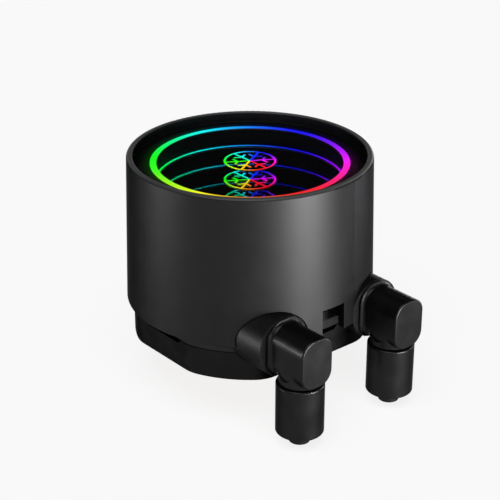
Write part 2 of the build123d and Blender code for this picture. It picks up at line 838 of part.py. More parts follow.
# Centre emblem under the glass: a ring round a plain snowflake
with BuildPart() as centre_emblem:
    with BuildSketch(Plane.XY.offset(glass_bottom - emblem_thickness)):
        Circle(emblem_radius)
        Circle(emblem_radius - emblem_line, mode=Mode.SUBTRACT)
        with PolarLocations((emblem_radius - emblem_line / 2) / 2, 6, start_angle=30):
            Rectangle(emblem_radius - emblem_line / 2, emblem_line)
        for slope in (60, -60):
            with PolarLocations(emblem_branch_offset, 6, start_angle=30):
                with Locations(polar(emblem_branch / 2, slope)):
                    Rectangle(emblem_branch, emblem_line, rotation=slope)
    extrude(amount=emblem_thickness)
centre_emblem.part.label = "centre_emblem"
export_step(centre_emblem.part, "parts/centre_emblem.step")

# Outer shell: drafted wall with a rounded rim, a ledge for the glass and screw bosses
with BuildPart() as outer_shell:
    with BuildSketch(Plane.XZ):
        with BuildLine():
            Polyline(
                (inner_bottom_radius, shell_bottom),
                (shell_bottom_radius - foot_edge, shell_bottom),
                (shell_bottom_radius, shell_bottom + foot_edge),
                (shell_top_radius, shell_top),
                (rim_inner_radius + rim_drop, shell_top),
                (rim_inner_radius, shell_top - rim_drop),
                (rim_inner_radius, glass_bottom),
                (inner_top_radius, glass_bottom),
                close=True,
            )
        make_face()
    revolve(axis=Axis.Z)
    outer_rim = outer_shell.edges().filter_by(GeomType.CIRCLE).group_by(Axis.Z)[-1].sort_by(SortBy.RADIUS)[-1]
    fillet(outer_rim, rim_round)
    with BuildSketch(Plane.XY.offset(shell_bottom)):
        for angle in body_screw_angles:
            with Locations(polar(body_screw_circle, angle)):
                Circle(shell_boss_radius)
            web = shell_bottom_radius - shell_bottom_wall / 2 - body_screw_circle
            with Locations(polar(body_screw_circle + web / 2, angle)):
                Rectangle(web, shell_boss_web, rotation=angle)
    extrude(amount=shell_boss_top - shell_bottom)
    with BuildSketch(Plane.XY.offset(shell_bottom)):
        with Locations(*body_screw_spots):
            Circle(body_screw_radius + screw_gap)
    extrude(amount=body_screw_bite + slide_gap, mode=Mode.SUBTRACT)
    # Arches over the port bosses
    with BuildSketch(Plane.XZ.offset(boss_tail)):
        with Locations(*port_spots):
            Circle(boss_radius + arch_gap)
            Rectangle(2 * (boss_radius + arch_gap), 2 * boss_radius, align=(Align.CENTER, Align.MAX))
    extrude(amount=shell_bottom_radius, mode=Mode.SUBTRACT)
    # Square notch between them, rounded at its lower corners
    with BuildSketch(Plane.XZ.offset(boss_tail)):
        with Locations((0, shell_bottom - notch_round)):
            Rectangle(notch_width, notch_height + notch_round, align=(Align.CENTER, Align.MIN))
        with Locations((0, shell_bottom)):
            Rectangle(notch_width + 2 * notch_round, notch_round, align=(Align.CENTER, Align.MIN))
        with Locations(
            (-notch_width / 2 - notch_round, shell_bottom + notch_round),
            (notch_width / 2 + notch_round, shell_bottom + notch_round),
        ):
            Circle(notch_round, mode=Mode.SUBTRACT)
    extrude(amount=shell_bottom_radius, mode=Mode.SUBTRACT)
outer_shell.part.label = "outer_shell"
export_step(outer_shell.part, "parts/outer_shell.step")

# Body screws: from below through base and flange into the shell's bosses
with BuildPart() as body_screws:
    screw_seat = base_bottom + body_screw_recess
    with BuildSketch(Plane.XY.offset(screw_seat)):
        with Locations(*body_screw_spots):
            Circle(body_screw_radius)
    extrude(amount=shell_bottom + body_screw_bite - screw_seat)
    with BuildSketch(Plane.XY.offset(screw_seat - body_screw_head_height)):
        with Locations(*body_screw_spots):
            Circle(body_screw_head)
    extrude(amount=body_screw_head_height)
    with BuildSketch(Plane.XY.offset(screw_seat - body_screw_head_height)):
        with Locations(*body_screw_spots):
            RegularPolygon(body_screw_radius, 6)
    extrude(amount=socket_depth, mode=Mode.SUBTRACT)
body_screws.part.label = "body_screws"
export_step(body_screws.part, "parts/body_screws.step")

# Rubber grommet on the pad behind the notch
with BuildPart() as cable_grommet:
    with BuildSketch(Plane.XZ.offset(front_flat - grommet_depth)):
        with Locations((0, shell_bottom + port_pad_height + grommet_height / 2)):
            RectangleRounded(grommet_width, grommet_height, grommet_round)
            Circle(grommet_bore, mode=Mode.SUBTRACT)
    extrude(amount=grommet_depth)
cable_grommet.part.label = "cable_grommet"
export_step(cable_grommet.part, "parts/cable_grommet.step")

# Swivel elbows with their seals, snap rings and ferrules, one set on each side
block_back = boss_face + root_gap
tail_offset = block_back + tail_setback
neck_bottom = boss_axis - block_height / 2 - neck_drop
ferrule_top = neck_bottom - neck_groove_height
ferrule_bottom = ferrule_top - ferrule_length
collar_bottom = ferrule_top - ferrule_lip
tail_bottom = ferrule_bottom - barb_tail
pad_half = sqrt(neck_radius**2 - (block_width / 2) ** 2)

for name, side in (("left", -1), ("right", 1)):
    centre = side * fitting_offset
    tail_axis = Axis((centre, -tail_offset, 0), (0, 0, 1))
    tail_plane = Plane(origin=(centre, -tail_offset, 0), x_dir=(1, 0, 0), z_dir=(0, -1, 0))
    with BuildPart() as elbow:
        with BuildSketch(Plane.XZ.offset(block_back)):
            with Locations((centre, boss_axis)):
                RectangleRounded(block_width, block_height, block_round)
        extrude(amount=block_length)
        fillet(elbow.edges().group_by(Axis.Y)[0], block_front_round)
        # Root that spreads over the boss in a hollow curve, level with the block's underside
        with BuildSketch(Plane.XZ.offset(block_back)):
            with Locations((centre, boss_axis)):
                RectangleRounded(
                    block_width + 2 * root_spread, block_height + 2 * root_spread, block_round + root_spread
                )
        extrude(amount=root_plate)
        root_face = elbow.faces().filter_by(Axis.Y).sort_by(Axis.Y)[1]
        fillet(root_face.inner_wires()[0].edges(), root_round)
        with BuildSketch(Plane.XY.offset(boss_axis - block_height / 2)):
            with Locations((centre, -block_back)):
                Rectangle(2 * block_width, 4 * root_spread)
        extrude(amount=-2 * root_spread, mode=Mode.SUBTRACT)
        # Round neck below the block, with a flat pad milled on each side
        with BuildSketch(Plane.XY.offset(neck_bottom)):
            with Locations((centre, -tail_offset)):
                Circle(neck_radius)
        extrude(amount=boss_axis - neck_bottom)
        for flank in (-1, 1):
            with BuildSketch(Plane.YZ.offset(centre + flank * block_width / 2)):
                with Locations((-tail_offset, boss_axis - pad_drop)):
                    Circle(pad_half)
                    Rectangle(2 * pad_half, 2 * pad_drop, align=(Align.CENTER, Align.MIN))
            extrude(amount=flank * neck_radius, mode=Mode.SUBTRACT)
        # Swivel spigot
        with BuildSketch(Plane.XZ.offset(boss_face - spigot_length)):
            with Locations((centre, boss_axis)):
                Circle(swivel_radius)
        extrude(amount=spigot_length + root_gap + root_plate)
        groove_floor = swivel_radius - seal_section
        with BuildSketch(Plane.XZ.offset(boss_face - seal_groove_at - seal_section / 2 - slide_gap)):
            with Locations((centre, boss_axis)):
                Circle(swivel_radius + slide_gap)
                Circle(groove_floor, mode=Mode.SUBTRACT)
        extrude(amount=seal_section + 2 * slide_gap, mode=Mode.SUBTRACT)
        snap_floor = snap_ring_radius - snap_ring_wall - running_gap
        with BuildSketch(Plane.XZ.offset(boss_face - snap_ring_at - snap_ring_thickness / 2 - running_gap)):
            with Locations((centre, boss_axis)):
                Circle(swivel_radius + slide_gap)
                Circle(snap_floor, mode=Mode.SUBTRACT)
        extrude(amount=snap_ring_thickness + 2 * running_gap, mode=Mode.SUBTRACT)
        # Hose tail: groove, collar and barbs turned about the ferrule's axis
        with BuildSketch(tail_plane):
            with BuildLine():
                barbs = [(barb_radius, collar_bottom)]
                for i in range(barb_ridge_count):
                    top = collar_bottom - barb_lead - barb_pitch * i
                    barbs.append((barb_radius, top))
                    barbs.append((barb_radius + barb_ridge, top))
                    barbs.append((barb_radius, top - barb_taper))
                Polyline(
                    (0, neck_bottom + neck_drop),
                    (neck_groove_radius, neck_bottom + neck_drop),
                    (neck_groove_radius, ferrule_top),
                    (collar_radius, ferrule_top),
                    (collar_radius, collar_bottom),
                    *barbs,
                    (barb_radius, tail_bottom),
                    (0, tail_bottom),
                    close=True,
                )
            make_face()
        revolve(axis=tail_axis)
        # Water way
        with BuildSketch(Plane.XY.offset(tail_bottom)):
            with Locations((centre, -tail_offset)):
                Circle(barb_bore)
        extrude(amount=boss_axis - tail_bottom, mode=Mode.SUBTRACT)
        with BuildSketch(Plane.XZ.offset(boss_face - spigot_length)):
            with Locations((centre, boss_axis)):
                Circle(water_radius)
        extrude(amount=tail_offset + water_radius - boss_face + spigot_length, mode=Mode.SUBTRACT)
    elbow.part.label = f"{name}_elbow"
    export_step(elbow.part, f"parts/{name}_elbow.step")

    with BuildPart() as swivel_seal:
        ring_plane = Plane(
            origin=(centre, -boss_face + seal_groove_at, boss_axis), x_dir=(1, 0, 0), z_dir=(0, -1, 0)
        )
        with Locations(ring_plane):
            Torus(swivel_radius - seal_section / 2, seal_section / 2 - running_gap / 2)
    swivel_seal.part.label = f"{name}_swivel_seal"
    export_step(swivel_seal.part, f"parts/{name}_swivel_seal.step")

    with BuildPart() as snap_ring:
        with BuildSketch(Plane.XZ.offset(boss_face - snap_ring_at - snap_ring_thickness / 2)):
            with Locations((centre, boss_axis)):
                Circle(snap_ring_radius)
                Circle(snap_ring_radius - snap_ring_wall, mode=Mode.SUBTRACT)
                Rectangle(
                    snap_ring_mouth, snap_ring_radius, align=(Align.CENTER, Align.MIN), mode=Mode.SUBTRACT
                )
        extrude(amount=snap_ring_thickness)
    snap_ring.part.label = f"{name}_snap_ring"
    export_step(snap_ring.part, f"parts/{name}_snap_ring.step")

    with BuildPart() as ferrule:
        with BuildSketch(tail_plane):
            with BuildLine():
                Polyline(
                    (collar_radius + slide_gap, ferrule_top),
                    (ferrule_radius, ferrule_top),
                    (ferrule_radius, ferrule_bottom),
                    (ferrule_radius - ferrule_wall, ferrule_bottom),
                    (ferrule_radius - ferrule_wall, collar_bottom),
                    (collar_radius + slide_gap, collar_bottom),
                    close=True,
                )
            make_face()
        revolve(axis=tail_axis)
        outer_edges = ferrule.edges().filter_by(GeomType.CIRCLE)
        fillet(outer_edges.group_by(Axis.Z)[-1].sort_by(SortBy.RADIUS)[-1], ferrule_top_round)
        outer_edges = ferrule.edges().filter_by(GeomType.CIRCLE)
        fillet(outer_edges.group_by(Axis.Z)[0].sort_by(SortBy.RADIUS)[-1], ferrule_end_round)
    ferrule.part.label = f"{name}_ferrule"
    export_step(ferrule.part, f"parts/{name}_ferrule.step")
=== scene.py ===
"""Dressed pump head of a liquid cooler: satin shell, two swivel elbows and an endless-mirror lamp.

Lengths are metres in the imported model's own frame: the origin is the centre of the cold
plate's contact face, +Z goes up through the lamp, and the two hose ports look towards -Y.
"""

import logging
from dataclasses import dataclass, field
from enum import Enum
from math import cos, pi, radians, sin, tau
from typing import Any

import bmesh
import bpy
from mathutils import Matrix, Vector


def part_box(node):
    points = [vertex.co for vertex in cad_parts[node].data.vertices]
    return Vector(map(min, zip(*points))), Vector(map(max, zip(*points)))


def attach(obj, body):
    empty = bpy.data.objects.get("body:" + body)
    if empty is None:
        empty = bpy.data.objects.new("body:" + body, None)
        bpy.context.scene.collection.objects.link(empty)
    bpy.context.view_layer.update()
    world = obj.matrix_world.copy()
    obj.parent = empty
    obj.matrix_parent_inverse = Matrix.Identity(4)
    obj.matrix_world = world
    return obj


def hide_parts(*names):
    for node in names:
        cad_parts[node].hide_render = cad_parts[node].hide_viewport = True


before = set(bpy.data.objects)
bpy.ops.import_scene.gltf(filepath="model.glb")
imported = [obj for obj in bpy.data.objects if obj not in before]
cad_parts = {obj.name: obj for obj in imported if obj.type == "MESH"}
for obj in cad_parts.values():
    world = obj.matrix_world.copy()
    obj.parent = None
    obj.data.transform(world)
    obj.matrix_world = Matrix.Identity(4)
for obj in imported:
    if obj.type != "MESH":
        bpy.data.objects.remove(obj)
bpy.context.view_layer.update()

MM = 0.001
SHARP_EDGE = radians(35)
NOISE_SPAN = (0.3, 0.7)
WAVE_PERIOD = tau / 20
WAVE_AXIS = {"bands_direction": "Z", "rings_direction": "Z"}
DISPLAY_GAMMA = 2.2

Colour = tuple[float, float, float]
Value = Any
Values = dict[Any, Any]
Socket = bpy.types.NodeSocket
Collection = bpy.types.Collection
Material = bpy.types.Material
Mesh = bpy.types.Mesh
Piece = bpy.types.Object

log = logging.getLogger("pump_head")


class Body(Enum):
    """The moving bodies of the pump head."""

    HOUSING = "housing"
    ROTOR = "rotor"
    LEFT = "left_fitting"
    RIGHT = "right_fitting"


class Graph:
    """Adds nodes to one node tree and joins their sockets."""

    def __init__(self, tree: bpy.types.NodeTree) -> None:
        """Keeps the shader or geometry tree that the nodes go into."""
        self.tree = tree

    def add(self, kind: str, values: Values | None = None, **settings: Value) -> bpy.types.Node:
        """Adds one node.

        Args:
            kind: the node's type name.
            values: what its inputs hold, a socket to join, a list of them or a plain value.
            settings: the node's own options.

        Returns:
            The new node.
        """
        node = self.tree.nodes.new(kind)
        for option, value in settings.items():
            setattr(node, option, value)
        for name, value in (values or {}).items():
            for held in value if isinstance(value, list) else [value]:
                if isinstance(held, Socket):
                    self.tree.links.new(held, node.inputs[name])
                else:
                    node.inputs[name].default_value = held
        return node

    def out(
        self, kind: str, values: Values | None = None, output: int | str = 0, **settings: Value
    ) -> Socket:
        """Adds one node and gives one of its outputs, the first unless it is named."""
        return self.add(kind, values, **settings).outputs[output]

    def math(self, operation: str, *values: Value) -> Socket:
        """Does one sum with its values in order."""
        return self.out("ShaderNodeMath", dict(enumerate(values)), operation=operation)

    def noise(self, place: Socket, size: float, detail: float = 2.0) -> Socket:
        """Adds a noise from 0 to 1, whose spots have the size in metres."""
        values = {"Vector": place, "Scale": 1 / size, "Detail": detail}
        return self.out("ShaderNodeTexNoise", values, "Fac")

    def wave(self, place: Socket, pitch: float, kind: str, values: Values) -> Socket:
        """Adds a wave with the pitch in metres, as BANDS along Z or RINGS round it."""
        values = {"Vector": place, "Scale": WAVE_PERIOD / pitch} | values
        return self.out("ShaderNodeTexWave", values, "Fac", wave_type=kind, **WAVE_AXIS)

    def ranged(self, value: Socket, span: tuple[float, float], ends: tuple[float, float]) -> Socket:
        """Maps a span of the value to the two ends, and holds what lies outside."""
        names = ("From Min", "From Max", "To Min", "To Max")
        return self.out("ShaderNodeMapRange", {"Value": value} | dict(zip(names, span + ends)), "Result")

    def spread(self, value: Socket, low: float, high: float) -> Socket:
        """Maps the middle of a noise to a range."""
        return self.ranged(value, NOISE_SPAN, (low, high))

    def blend(self, factor: Socket, first: Colour | Socket, second: Colour | Socket) -> Socket:
        """Blends two linear colours, from the first at 0 to the second at 1."""
        ends = [(*end, 1) if isinstance(end, tuple) else end for end in (first, second)]
        return self.out("ShaderNodeMix", {0: factor, 6: ends[0], 7: ends[1]}, 2, data_type="RGBA")

    def bumped(self, values: Values, height: Socket, relief: float) -> Socket:
        """Adds a surface shader whose bumps are as high as the relief in metres."""
        normal = self.out("ShaderNodeBump", {"Height": height, "Distance": relief}, "Normal")
        return self.out("ShaderNodeBsdfPrincipled", values | {"Normal": normal})


def scaled(colour: Colour, factor: float) -> Colour:
    """Makes a colour paler or darker."""
    return tuple(part * factor for part in colour)


@dataclass(frozen=True)
class Finish:
    """A surface finish, which makes its material once."""

    slot: str

    def material(self) -> Material:
        """Makes the material, or finds the one made before.

        Returns:
            The material.
        """
        found = bpy.data.materials.get(f"finish_{self.slot}")
        if found:
            return found
        made = bpy.data.materials.new(f"finish_{self.slot}")
        made.use_nodes = True
        made.node_tree.nodes.clear()
        graph = Graph(made.node_tree)
        graph.add("ShaderNodeOutputMaterial", {"Surface": self.surface(graph)})
        return made

    def place(self, graph: Graph) -> Socket:
        """Gives the object's own coordinates, in metres."""
        return graph.out("ShaderNodeTexCoord", output="Object")

    def surface(self, graph: Graph) -> Socket:
        """Makes the finish's shader; each kind of finish has its own."""
        raise NotImplementedError(self.slot)


@dataclass(frozen=True)
class GrainFinish(Finish):
    """Moulded, painted, sintered or ground surface with a fine grain and slow uneven patches."""

    colour: Colour = (0.03, 0.03, 0.03)
    roughness: float = 0.45
    metallic: float = 0.0
    specular: float = 0.5
    edge: float = 1.0
    grain: float = 0.12 * MM
    relief: float = 0.004 * MM
    patch: float = 6 * MM
    patch_shift: float = 0.12
    gloss_shift: float = 0.04
    patch_detail: float = 4.0
    grain_detail: float = 3.0
    grain_share: float = 0.5
    gloss_span: tuple[float, float] = (0.5, 1.0)

    def tone(self, graph: Graph, place: Socket, patches: Socket) -> Socket:
        """Gives the colour, darker and paler by the slow noise of patches."""
        dark, pale = scaled(self.colour, 1 - self.patch_shift), scaled(self.colour, 1 + self.patch_shift)
        return graph.blend(graph.spread(patches, 0, 1), dark, pale)

    def metal(self, graph: Graph, place: Socket) -> Value:
        """Gives the share that is bare metal."""
        return self.metallic

    def surface(self, graph: Graph) -> Socket:
        """Makes the grained shader.

        Args:
            graph: the material's graph.

        Returns:
            The shader's socket.
        """
        place = self.place(graph)
        patches = graph.noise(place, self.patch, self.patch_detail)
        grain = graph.noise(place, self.grain, self.grain_detail)
        gloss = graph.math("ADD", patches, graph.math("MULTIPLY", grain, self.grain_share))
        ends = (self.roughness - self.gloss_shift, self.roughness + self.gloss_shift)
        values = {
            "Base Color": self.tone(graph, place, patches),
            "Roughness": graph.ranged(gloss, self.gloss_span, ends),
            "Metallic": self.metal(graph, place),
            "Specular IOR Level": self.specular,
            "Specular Tint": (self.edge, self.edge, self.edge, 1),
        }
        return graph.bumped(values, grain, self.relief)


@dataclass(frozen=True)
class RimmedFinish(GrainFinish):
    """Grained finish that turns matt above a height, as on a shell's cut rim, and is painted paler there as
    a painted highlight of the light on the rim.
    """

    # Painted highlight: the rim's paler colour stands in for light falling on the top rim; its matt,
    # non-metal finish is the rim's own.
    rim_highlight_colour: Colour = (0.042, 0.042, 0.042)
    rim_from: float = 55.3 * MM
    rim_full: float = 55.7 * MM

    def rim(self, graph: Graph, place: Socket) -> Socket:
        """Tells the rim, 1, from the wall, 0."""
        height = graph.out("ShaderNodeSeparateXYZ", {0: place}, "Z")
        return graph.ranged(height, (self.rim_from, self.rim_full), (0, 1))

    def tone(self, graph: Graph, place: Socket, patches: Socket) -> Socket:
        """Gives the patchy colour of the wall and the rim's paler colour, a painted highlight."""
        return graph.blend(self.rim(graph, place), super().tone(graph, place, patches), self.rim_highlight_colour)

    def metal(self, graph: Graph, place: Socket) -> Value:
        """Gives the share that is bare metal, none on the rim."""
        return graph.math("MULTIPLY", graph.math("SUBTRACT", 1.0, self.rim(graph, place)), self.metallic)


@dataclass(frozen=True)
class TurnedFinish(Finish):
    """Metal with the fine rings that a lathe leaves round the Z axis."""

    colour: Colour = (0.7, 0.4, 0.3)
    roughness: float = 0.25
    pitch: float = 0.25 * MM
    relief: float = 0.002 * MM
    stain: Colour = (0.5, 0.25, 0.15)
    stain_size: float = 8 * MM
    stain_detail: float = 5.0
    wobble: float = 0.6
    wobble_detail: float = 1.0
    dull_share: float = 1.4

    def surface(self, graph: Graph) -> Socket:
        """Makes the turned metal's shader.

        Args:
            graph: the material's graph.

        Returns:
            The shader's socket.
        """
        place = self.place(graph)
        wobble = {"Distortion": self.wobble, "Detail": self.wobble_detail}
        rings = graph.wave(place, self.pitch, "RINGS", wobble)
        stains = graph.spread(graph.noise(place, self.stain_size, self.stain_detail), 0, 1)
        values = {
            "Base Color": graph.blend(stains, self.colour, self.stain),
            "Roughness": graph.spread(rings, self.roughness, self.roughness * self.dull_share),
            "Metallic": 1.0,
        }
        return graph.bumped(values, rings, self.relief)


@dataclass(frozen=True)
class LayeredFinish(Finish):
    """Thin sheets or wires that lie on each other along the Z axis."""

    colour: Colour = (0.3, 0.3, 0.32)
    gap_colour: Colour = (0.05, 0.05, 0.05)
    pitch: float = 0.35 * MM
    relief: float = 0.05 * MM
    roughness: float = 0.4
    roughness_rise: float = 0.1
    metallic: float = 1.0
    patch: float = 3 * MM
    wobble: float = 0.1

    def surface(self, graph: Graph) -> Socket:
        """Makes the layered shader.

        Args:
            graph: the material's graph.

        Returns:
            The shader's socket.
        """
        place = self.place(graph)
        bands = graph.wave(place, self.pitch, "BANDS", {"Distortion": self.wobble})
        patches = graph.noise(place, self.patch)
        values = {
            "Base Color": graph.blend(bands, self.gap_colour, self.colour),
            "Roughness": graph.spread(patches, self.roughness, self.roughness + self.roughness_rise),
            "Metallic": self.metallic,
        }
        return graph.bumped(values, bands, self.relief)


@dataclass(frozen=True)
class BoardFinish(Finish):
    """Circuit board: solder mask over a net of raised tracks, with bare pads between."""

    mask: Colour = (0.012, 0.02, 0.016)
    track: Colour = (0.03, 0.06, 0.045)
    pad: Colour = (0.6, 0.5, 0.25)
    pitch: float = 1.6 * MM
    relief: float = 0.03 * MM
    disorder: float = 0.6
    track_share: float = 0.07
    pad_share: float = 0.12
    roughness: float = 0.32

    def surface(self, graph: Graph) -> Socket:
        """Makes the board's shader.

        Args:
            graph: the material's graph.

        Returns:
            The shader's socket.
        """
        cells = {"Vector": self.place(graph), "Scale": 1 / self.pitch, "Randomness": self.disorder}
        from_edge = graph.out("ShaderNodeTexVoronoi", cells, "Distance", feature="DISTANCE_TO_EDGE")
        on_track = graph.math("LESS_THAN", from_edge, self.track_share)
        from_middle = graph.out("ShaderNodeTexVoronoi", cells, "Distance", feature="F1")
        on_pad = graph.math("LESS_THAN", from_middle, self.pad_share)
        values = {
            "Base Color": graph.blend(on_pad, graph.blend(on_track, self.mask, self.track), self.pad),
            "Metallic": on_pad,
            "Roughness": self.roughness,
        }
        return graph.bumped(values, on_track, self.relief)


@dataclass(frozen=True)
class MirrorFinish(Finish):
    """Silvered surface; with a cover under 1 it lets the rest of the light through."""

    colour: Colour = (0.96, 0.96, 0.97)
    cover: float = 1.0
    dim_share: float = 0.99
    patch: float = 9 * MM

    def surface(self, graph: Graph) -> Socket:
        """Makes the mirror's shader.

        Args:
            graph: the material's graph.

        Returns:
            The shader's socket.
        """
        patches = graph.spread(graph.noise(self.place(graph), self.patch), 0, 1)
        values = {
            "Base Color": graph.blend(patches, scaled(self.colour, self.dim_share), self.colour),
            "Metallic": 1.0,
            "Roughness": 0.0,
            "Alpha": self.cover,
        }
        return graph.out("ShaderNodeBsdfPrincipled", values)


@dataclass(frozen=True)
class ClearFinish(Finish):
    """Thin clear glass, which mirrors more the flatter it is looked at."""

    ior: float = 1.45
    tint: Colour = (0.97, 0.98, 0.98)

    def surface(self, graph: Graph) -> Socket:
        """Makes the clear glass's shader.

        Args:
            graph: the material's graph.

        Returns:
            The shader's socket.
        """
        through = graph.out("ShaderNodeBsdfTransparent", {"Color": (*self.tint, 1)})
        gloss = graph.out("ShaderNodeBsdfGlossy", {"Color": (1, 1, 1, 1), "Roughness": 0.0})
        share = graph.out("ShaderNodeFresnel", {"IOR": self.ior})
        outside = graph.math("SUBTRACT", 1.0, graph.out("ShaderNodeNewGeometry", output="Backfacing"))
        share = graph.math("MULTIPLY", share, outside)
        return graph.out("ShaderNodeMixShader", {0: share, 1: through, 2: gloss})


@dataclass(frozen=True)
class SpectrumFinish(Finish):
    """Lit acrylic whose hue runs once round the Z axis."""

    hue_at_x: float = 259.87 / 360
    strength: float = 2.0
    upwards: float = 0.55
    downwards: float = 1.0
    colour: Colour = (0.02, 0.02, 0.02)
    roughness: float = 0.3

    def level(self, graph: Graph, place: Socket) -> Socket:
        """Tells how bright each spot is, by the way that it faces.

        Args:
            graph: the material's graph.
            place: the object's own coordinates.

        Returns:
            The share of the full glow.
        """
        facing = graph.out("ShaderNodeNewGeometry", output="Normal")
        up = graph.out("ShaderNodeSeparateXYZ", {0: facing}, "Z")
        above = graph.math("MULTIPLY", graph.math("MAXIMUM", up, 0.0), self.upwards)
        below = graph.math("MULTIPLY", graph.math("MINIMUM", up, 0.0), -self.downwards)
        return graph.math("ADD", above, below)

    def surface(self, graph: Graph) -> Socket:
        """Makes the glowing shader.

        Args:
            graph: the material's graph.

        Returns:
            The shader's socket.
        """
        place = self.place(graph)
        spot = graph.add("ShaderNodeSeparateXYZ", {0: place}).outputs
        turn = graph.math("MULTIPLY", graph.math("ARCTAN2", spot["Y"], spot["X"]), 1 / tau)
        hue = graph.math("FRACT", graph.math("SUBTRACT", 1 + self.hue_at_x, turn))
        shown = graph.out("ShaderNodeCombineColor", {0: hue, 1: 1.0, 2: 1.0}, mode="HSV")
        linear = graph.out("ShaderNodeGamma", {"Color": shown, "Gamma": DISPLAY_GAMMA})
        level = self.level(graph, place)
        glow = graph.out("ShaderNodeVectorMath", {0: linear, 3: level}, operation="SCALE")
        values = {
            "Base Color": (*self.colour, 1),
            "Roughness": self.roughness,
            "Emission Color": glow,
            "Emission Strength": self.strength,
        }
        return graph.out("ShaderNodeBsdfPrincipled", values)


@dataclass(frozen=True)
class PaintedHaloFinish(SpectrumFinish):
    """Black print with a painted glow of the ring's light on it, fading outwards."""

    ring_edge: float = 28.4 * MM
    reach: float = 3.4 * MM
    fall: float = 2.0
    colour: Colour = (0.002, 0.002, 0.002)
    roughness: float = 0.2

    def level(self, graph: Graph, place: Socket) -> Socket:
        """Tells how bright the painted glow is at each spot, by its way from the ring.

        Args:
            graph: the material's graph.
            place: the object's own coordinates.

        Returns:
            The share of the full glow.
        """
        flat = graph.out("ShaderNodeVectorMath", {0: place, 1: (1.0, 1.0, 0.0)}, operation="MULTIPLY")
        radius = graph.out("ShaderNodeVectorMath", {0: flat}, "Value", operation="LENGTH")
        fade = graph.ranged(radius, (self.ring_edge, self.ring_edge + self.reach), (1.0, 0.0))
        return graph.math("POWER", fade, self.fall)


class Palette(Enum):
    """The finish of each material slot."""

    SHELL = RimmedFinish(
        "shell_metal", (0.02, 0.02, 0.0204), 0.48, 1.0,
        edge=0.25, relief=0.002 * MM, patch_shift=0.05, gloss_shift=0.012,
    )
    BASE = GrainFinish("base_plastic", (0.012, 0.012, 0.012), 0.5, 1.0, edge=0.2, grain=0.2 * MM)
    FITTING = GrainFinish("fitting_plastic", (0.0165, 0.0165, 0.0165), 0.38, 0.9, 0.2, 0.4, 0.15 * MM)
    FERRULE = GrainFinish("ferrule_metal", (0.015, 0.015, 0.0154), 0.34, 0.9, 0.2, 0.3)
    INNER = GrainFinish("inner_plastic", (0.012, 0.012, 0.012), 0.5, specular=0.4)
    RUBBER = GrainFinish("rubber", (0.01, 0.01, 0.01), 0.75, specular=0.3, grain=0.3 * MM)
    # The border print glows a little next to the ring: a painted glow of the ring's light, not a lamp.
    MASK = PaintedHaloFinish("mask", strength=0.035)
    SCREW = GrainFinish("screw_steel", (0.1, 0.1, 0.105), 0.35, 1.0, grain=0.1 * MM)
    CERAMIC = GrainFinish("ceramic", (0.72, 0.71, 0.68), 0.3, relief=0.001 * MM)
    IMPELLER = GrainFinish("impeller_plastic", (0.55, 0.54, 0.51), 0.5)
    MAGNET = GrainFinish("magnet", (0.025, 0.025, 0.027), 0.6, grain=0.35 * MM, relief=0.01 * MM)
    GRAPHITE = GrainFinish("graphite", (0.03, 0.03, 0.032), 0.4, 0.4, grain=0.25 * MM)
    COMPONENT = GrainFinish("component", (0.02, 0.02, 0.02), 0.4)
    CHIP = GrainFinish("lamp_chip", (0.8, 0.7, 0.3), 0.35, grain=0.3 * MM)
    COPPER = TurnedFinish("copper", (0.72, 0.36, 0.24), 0.22)
    LAMINATION = LayeredFinish("laminations")
    WINDING = LayeredFinish("winding", (0.55, 0.18, 0.05), (0.12, 0.03, 0.01), 0.5 * MM, roughness=0.25)
    BOARD = BoardFinish("board")
    MIRROR = MirrorFinish("mirror")
    GUIDE = SpectrumFinish("light_guide")
    GLASS = ClearFinish("front_glass")

    @classmethod
    def of_slot(cls, slot: str) -> "Palette":
        """Finds a finish by the name of its material slot."""
        return next(entry for entry in cls if entry.value.slot == slot)


PORT_BOSS = GrainFinish("port_boss", (0.02, 0.02, 0.02), 0.45, 0.85, 0.2, 0.3, 0.2 * MM)
# Painted shade: a darker copy of the inner plastic for the mirror carrier, so the lit lamp well shows
# black.
LAMP_WELL_SHADE = GrainFinish("lamp_well_shade", (0.003, 0.003, 0.003), 0.55, specular=0.1)
COATING = MirrorFinish("coating", (1.0, 1.0, 1.0), cover=0.5)
EMBLEM_GLOW = SpectrumFinish("emblem", strength=2.2, upwards=1.0, downwards=0.9)


def linked_object(name: str, data: bpy.types.ID) -> Piece:
    """Puts a mesh, lamp or camera into the scene.

    Args:
        name: the new object's name.
        data: its mesh, light or camera.

    Returns:
        The object, at the origin.
    """
    made = bpy.data.objects.new(name, data)
    bpy.context.scene.collection.objects.link(made)
    return made


def settled(mesh: Mesh) -> Mesh:
    """Turns a mesh's faces outwards and shades it smooth between its sharp edges.

    Args:
        mesh: a closed mesh.

    Returns:
        The same mesh.
    """
    work = bmesh.new()
    work.from_mesh(mesh)
    bmesh.ops.recalc_face_normals(work, faces=work.faces)
    work.to_mesh(mesh)
    work.free()
    mesh.shade_smooth()
    mesh.set_sharp_from_angle(angle=SHARP_EDGE)
    return mesh


def turned_mesh(name: str, profile: list[tuple[float, float, int]], segments: int) -> Mesh:
    """Turns a profile round the Z axis into a closed solid.

    Args:
        name: the mesh's name.
        profile: radius, height and material index, from pole to pole.
        segments: the steps round the axis.

    Returns:
        The mesh.
    """
    work = bmesh.new()
    rings: list[list[bmesh.types.BMVert]] = []
    for radius, height, _ in profile:
        steps = segments if radius > 0 else 1
        turns = [tau * i / steps for i in range(steps)]
        rings.append([work.verts.new((radius * cos(turn), radius * sin(turn), height)) for turn in turns])
    for (lower, upper), (_, _, index) in zip(zip(rings, rings[1:]), profile):
        for i in range(segments):
            corners = (lower[i % len(lower)], lower[(i + 1) % len(lower)])
            corners += (upper[(i + 1) % len(upper)], upper[i % len(upper)])
            face = work.faces.new(tuple(dict.fromkeys(corners)))
            face.material_index = index
    mesh = bpy.data.meshes.new(name)
    work.to_mesh(mesh)
    work.free()
    return settled(mesh)


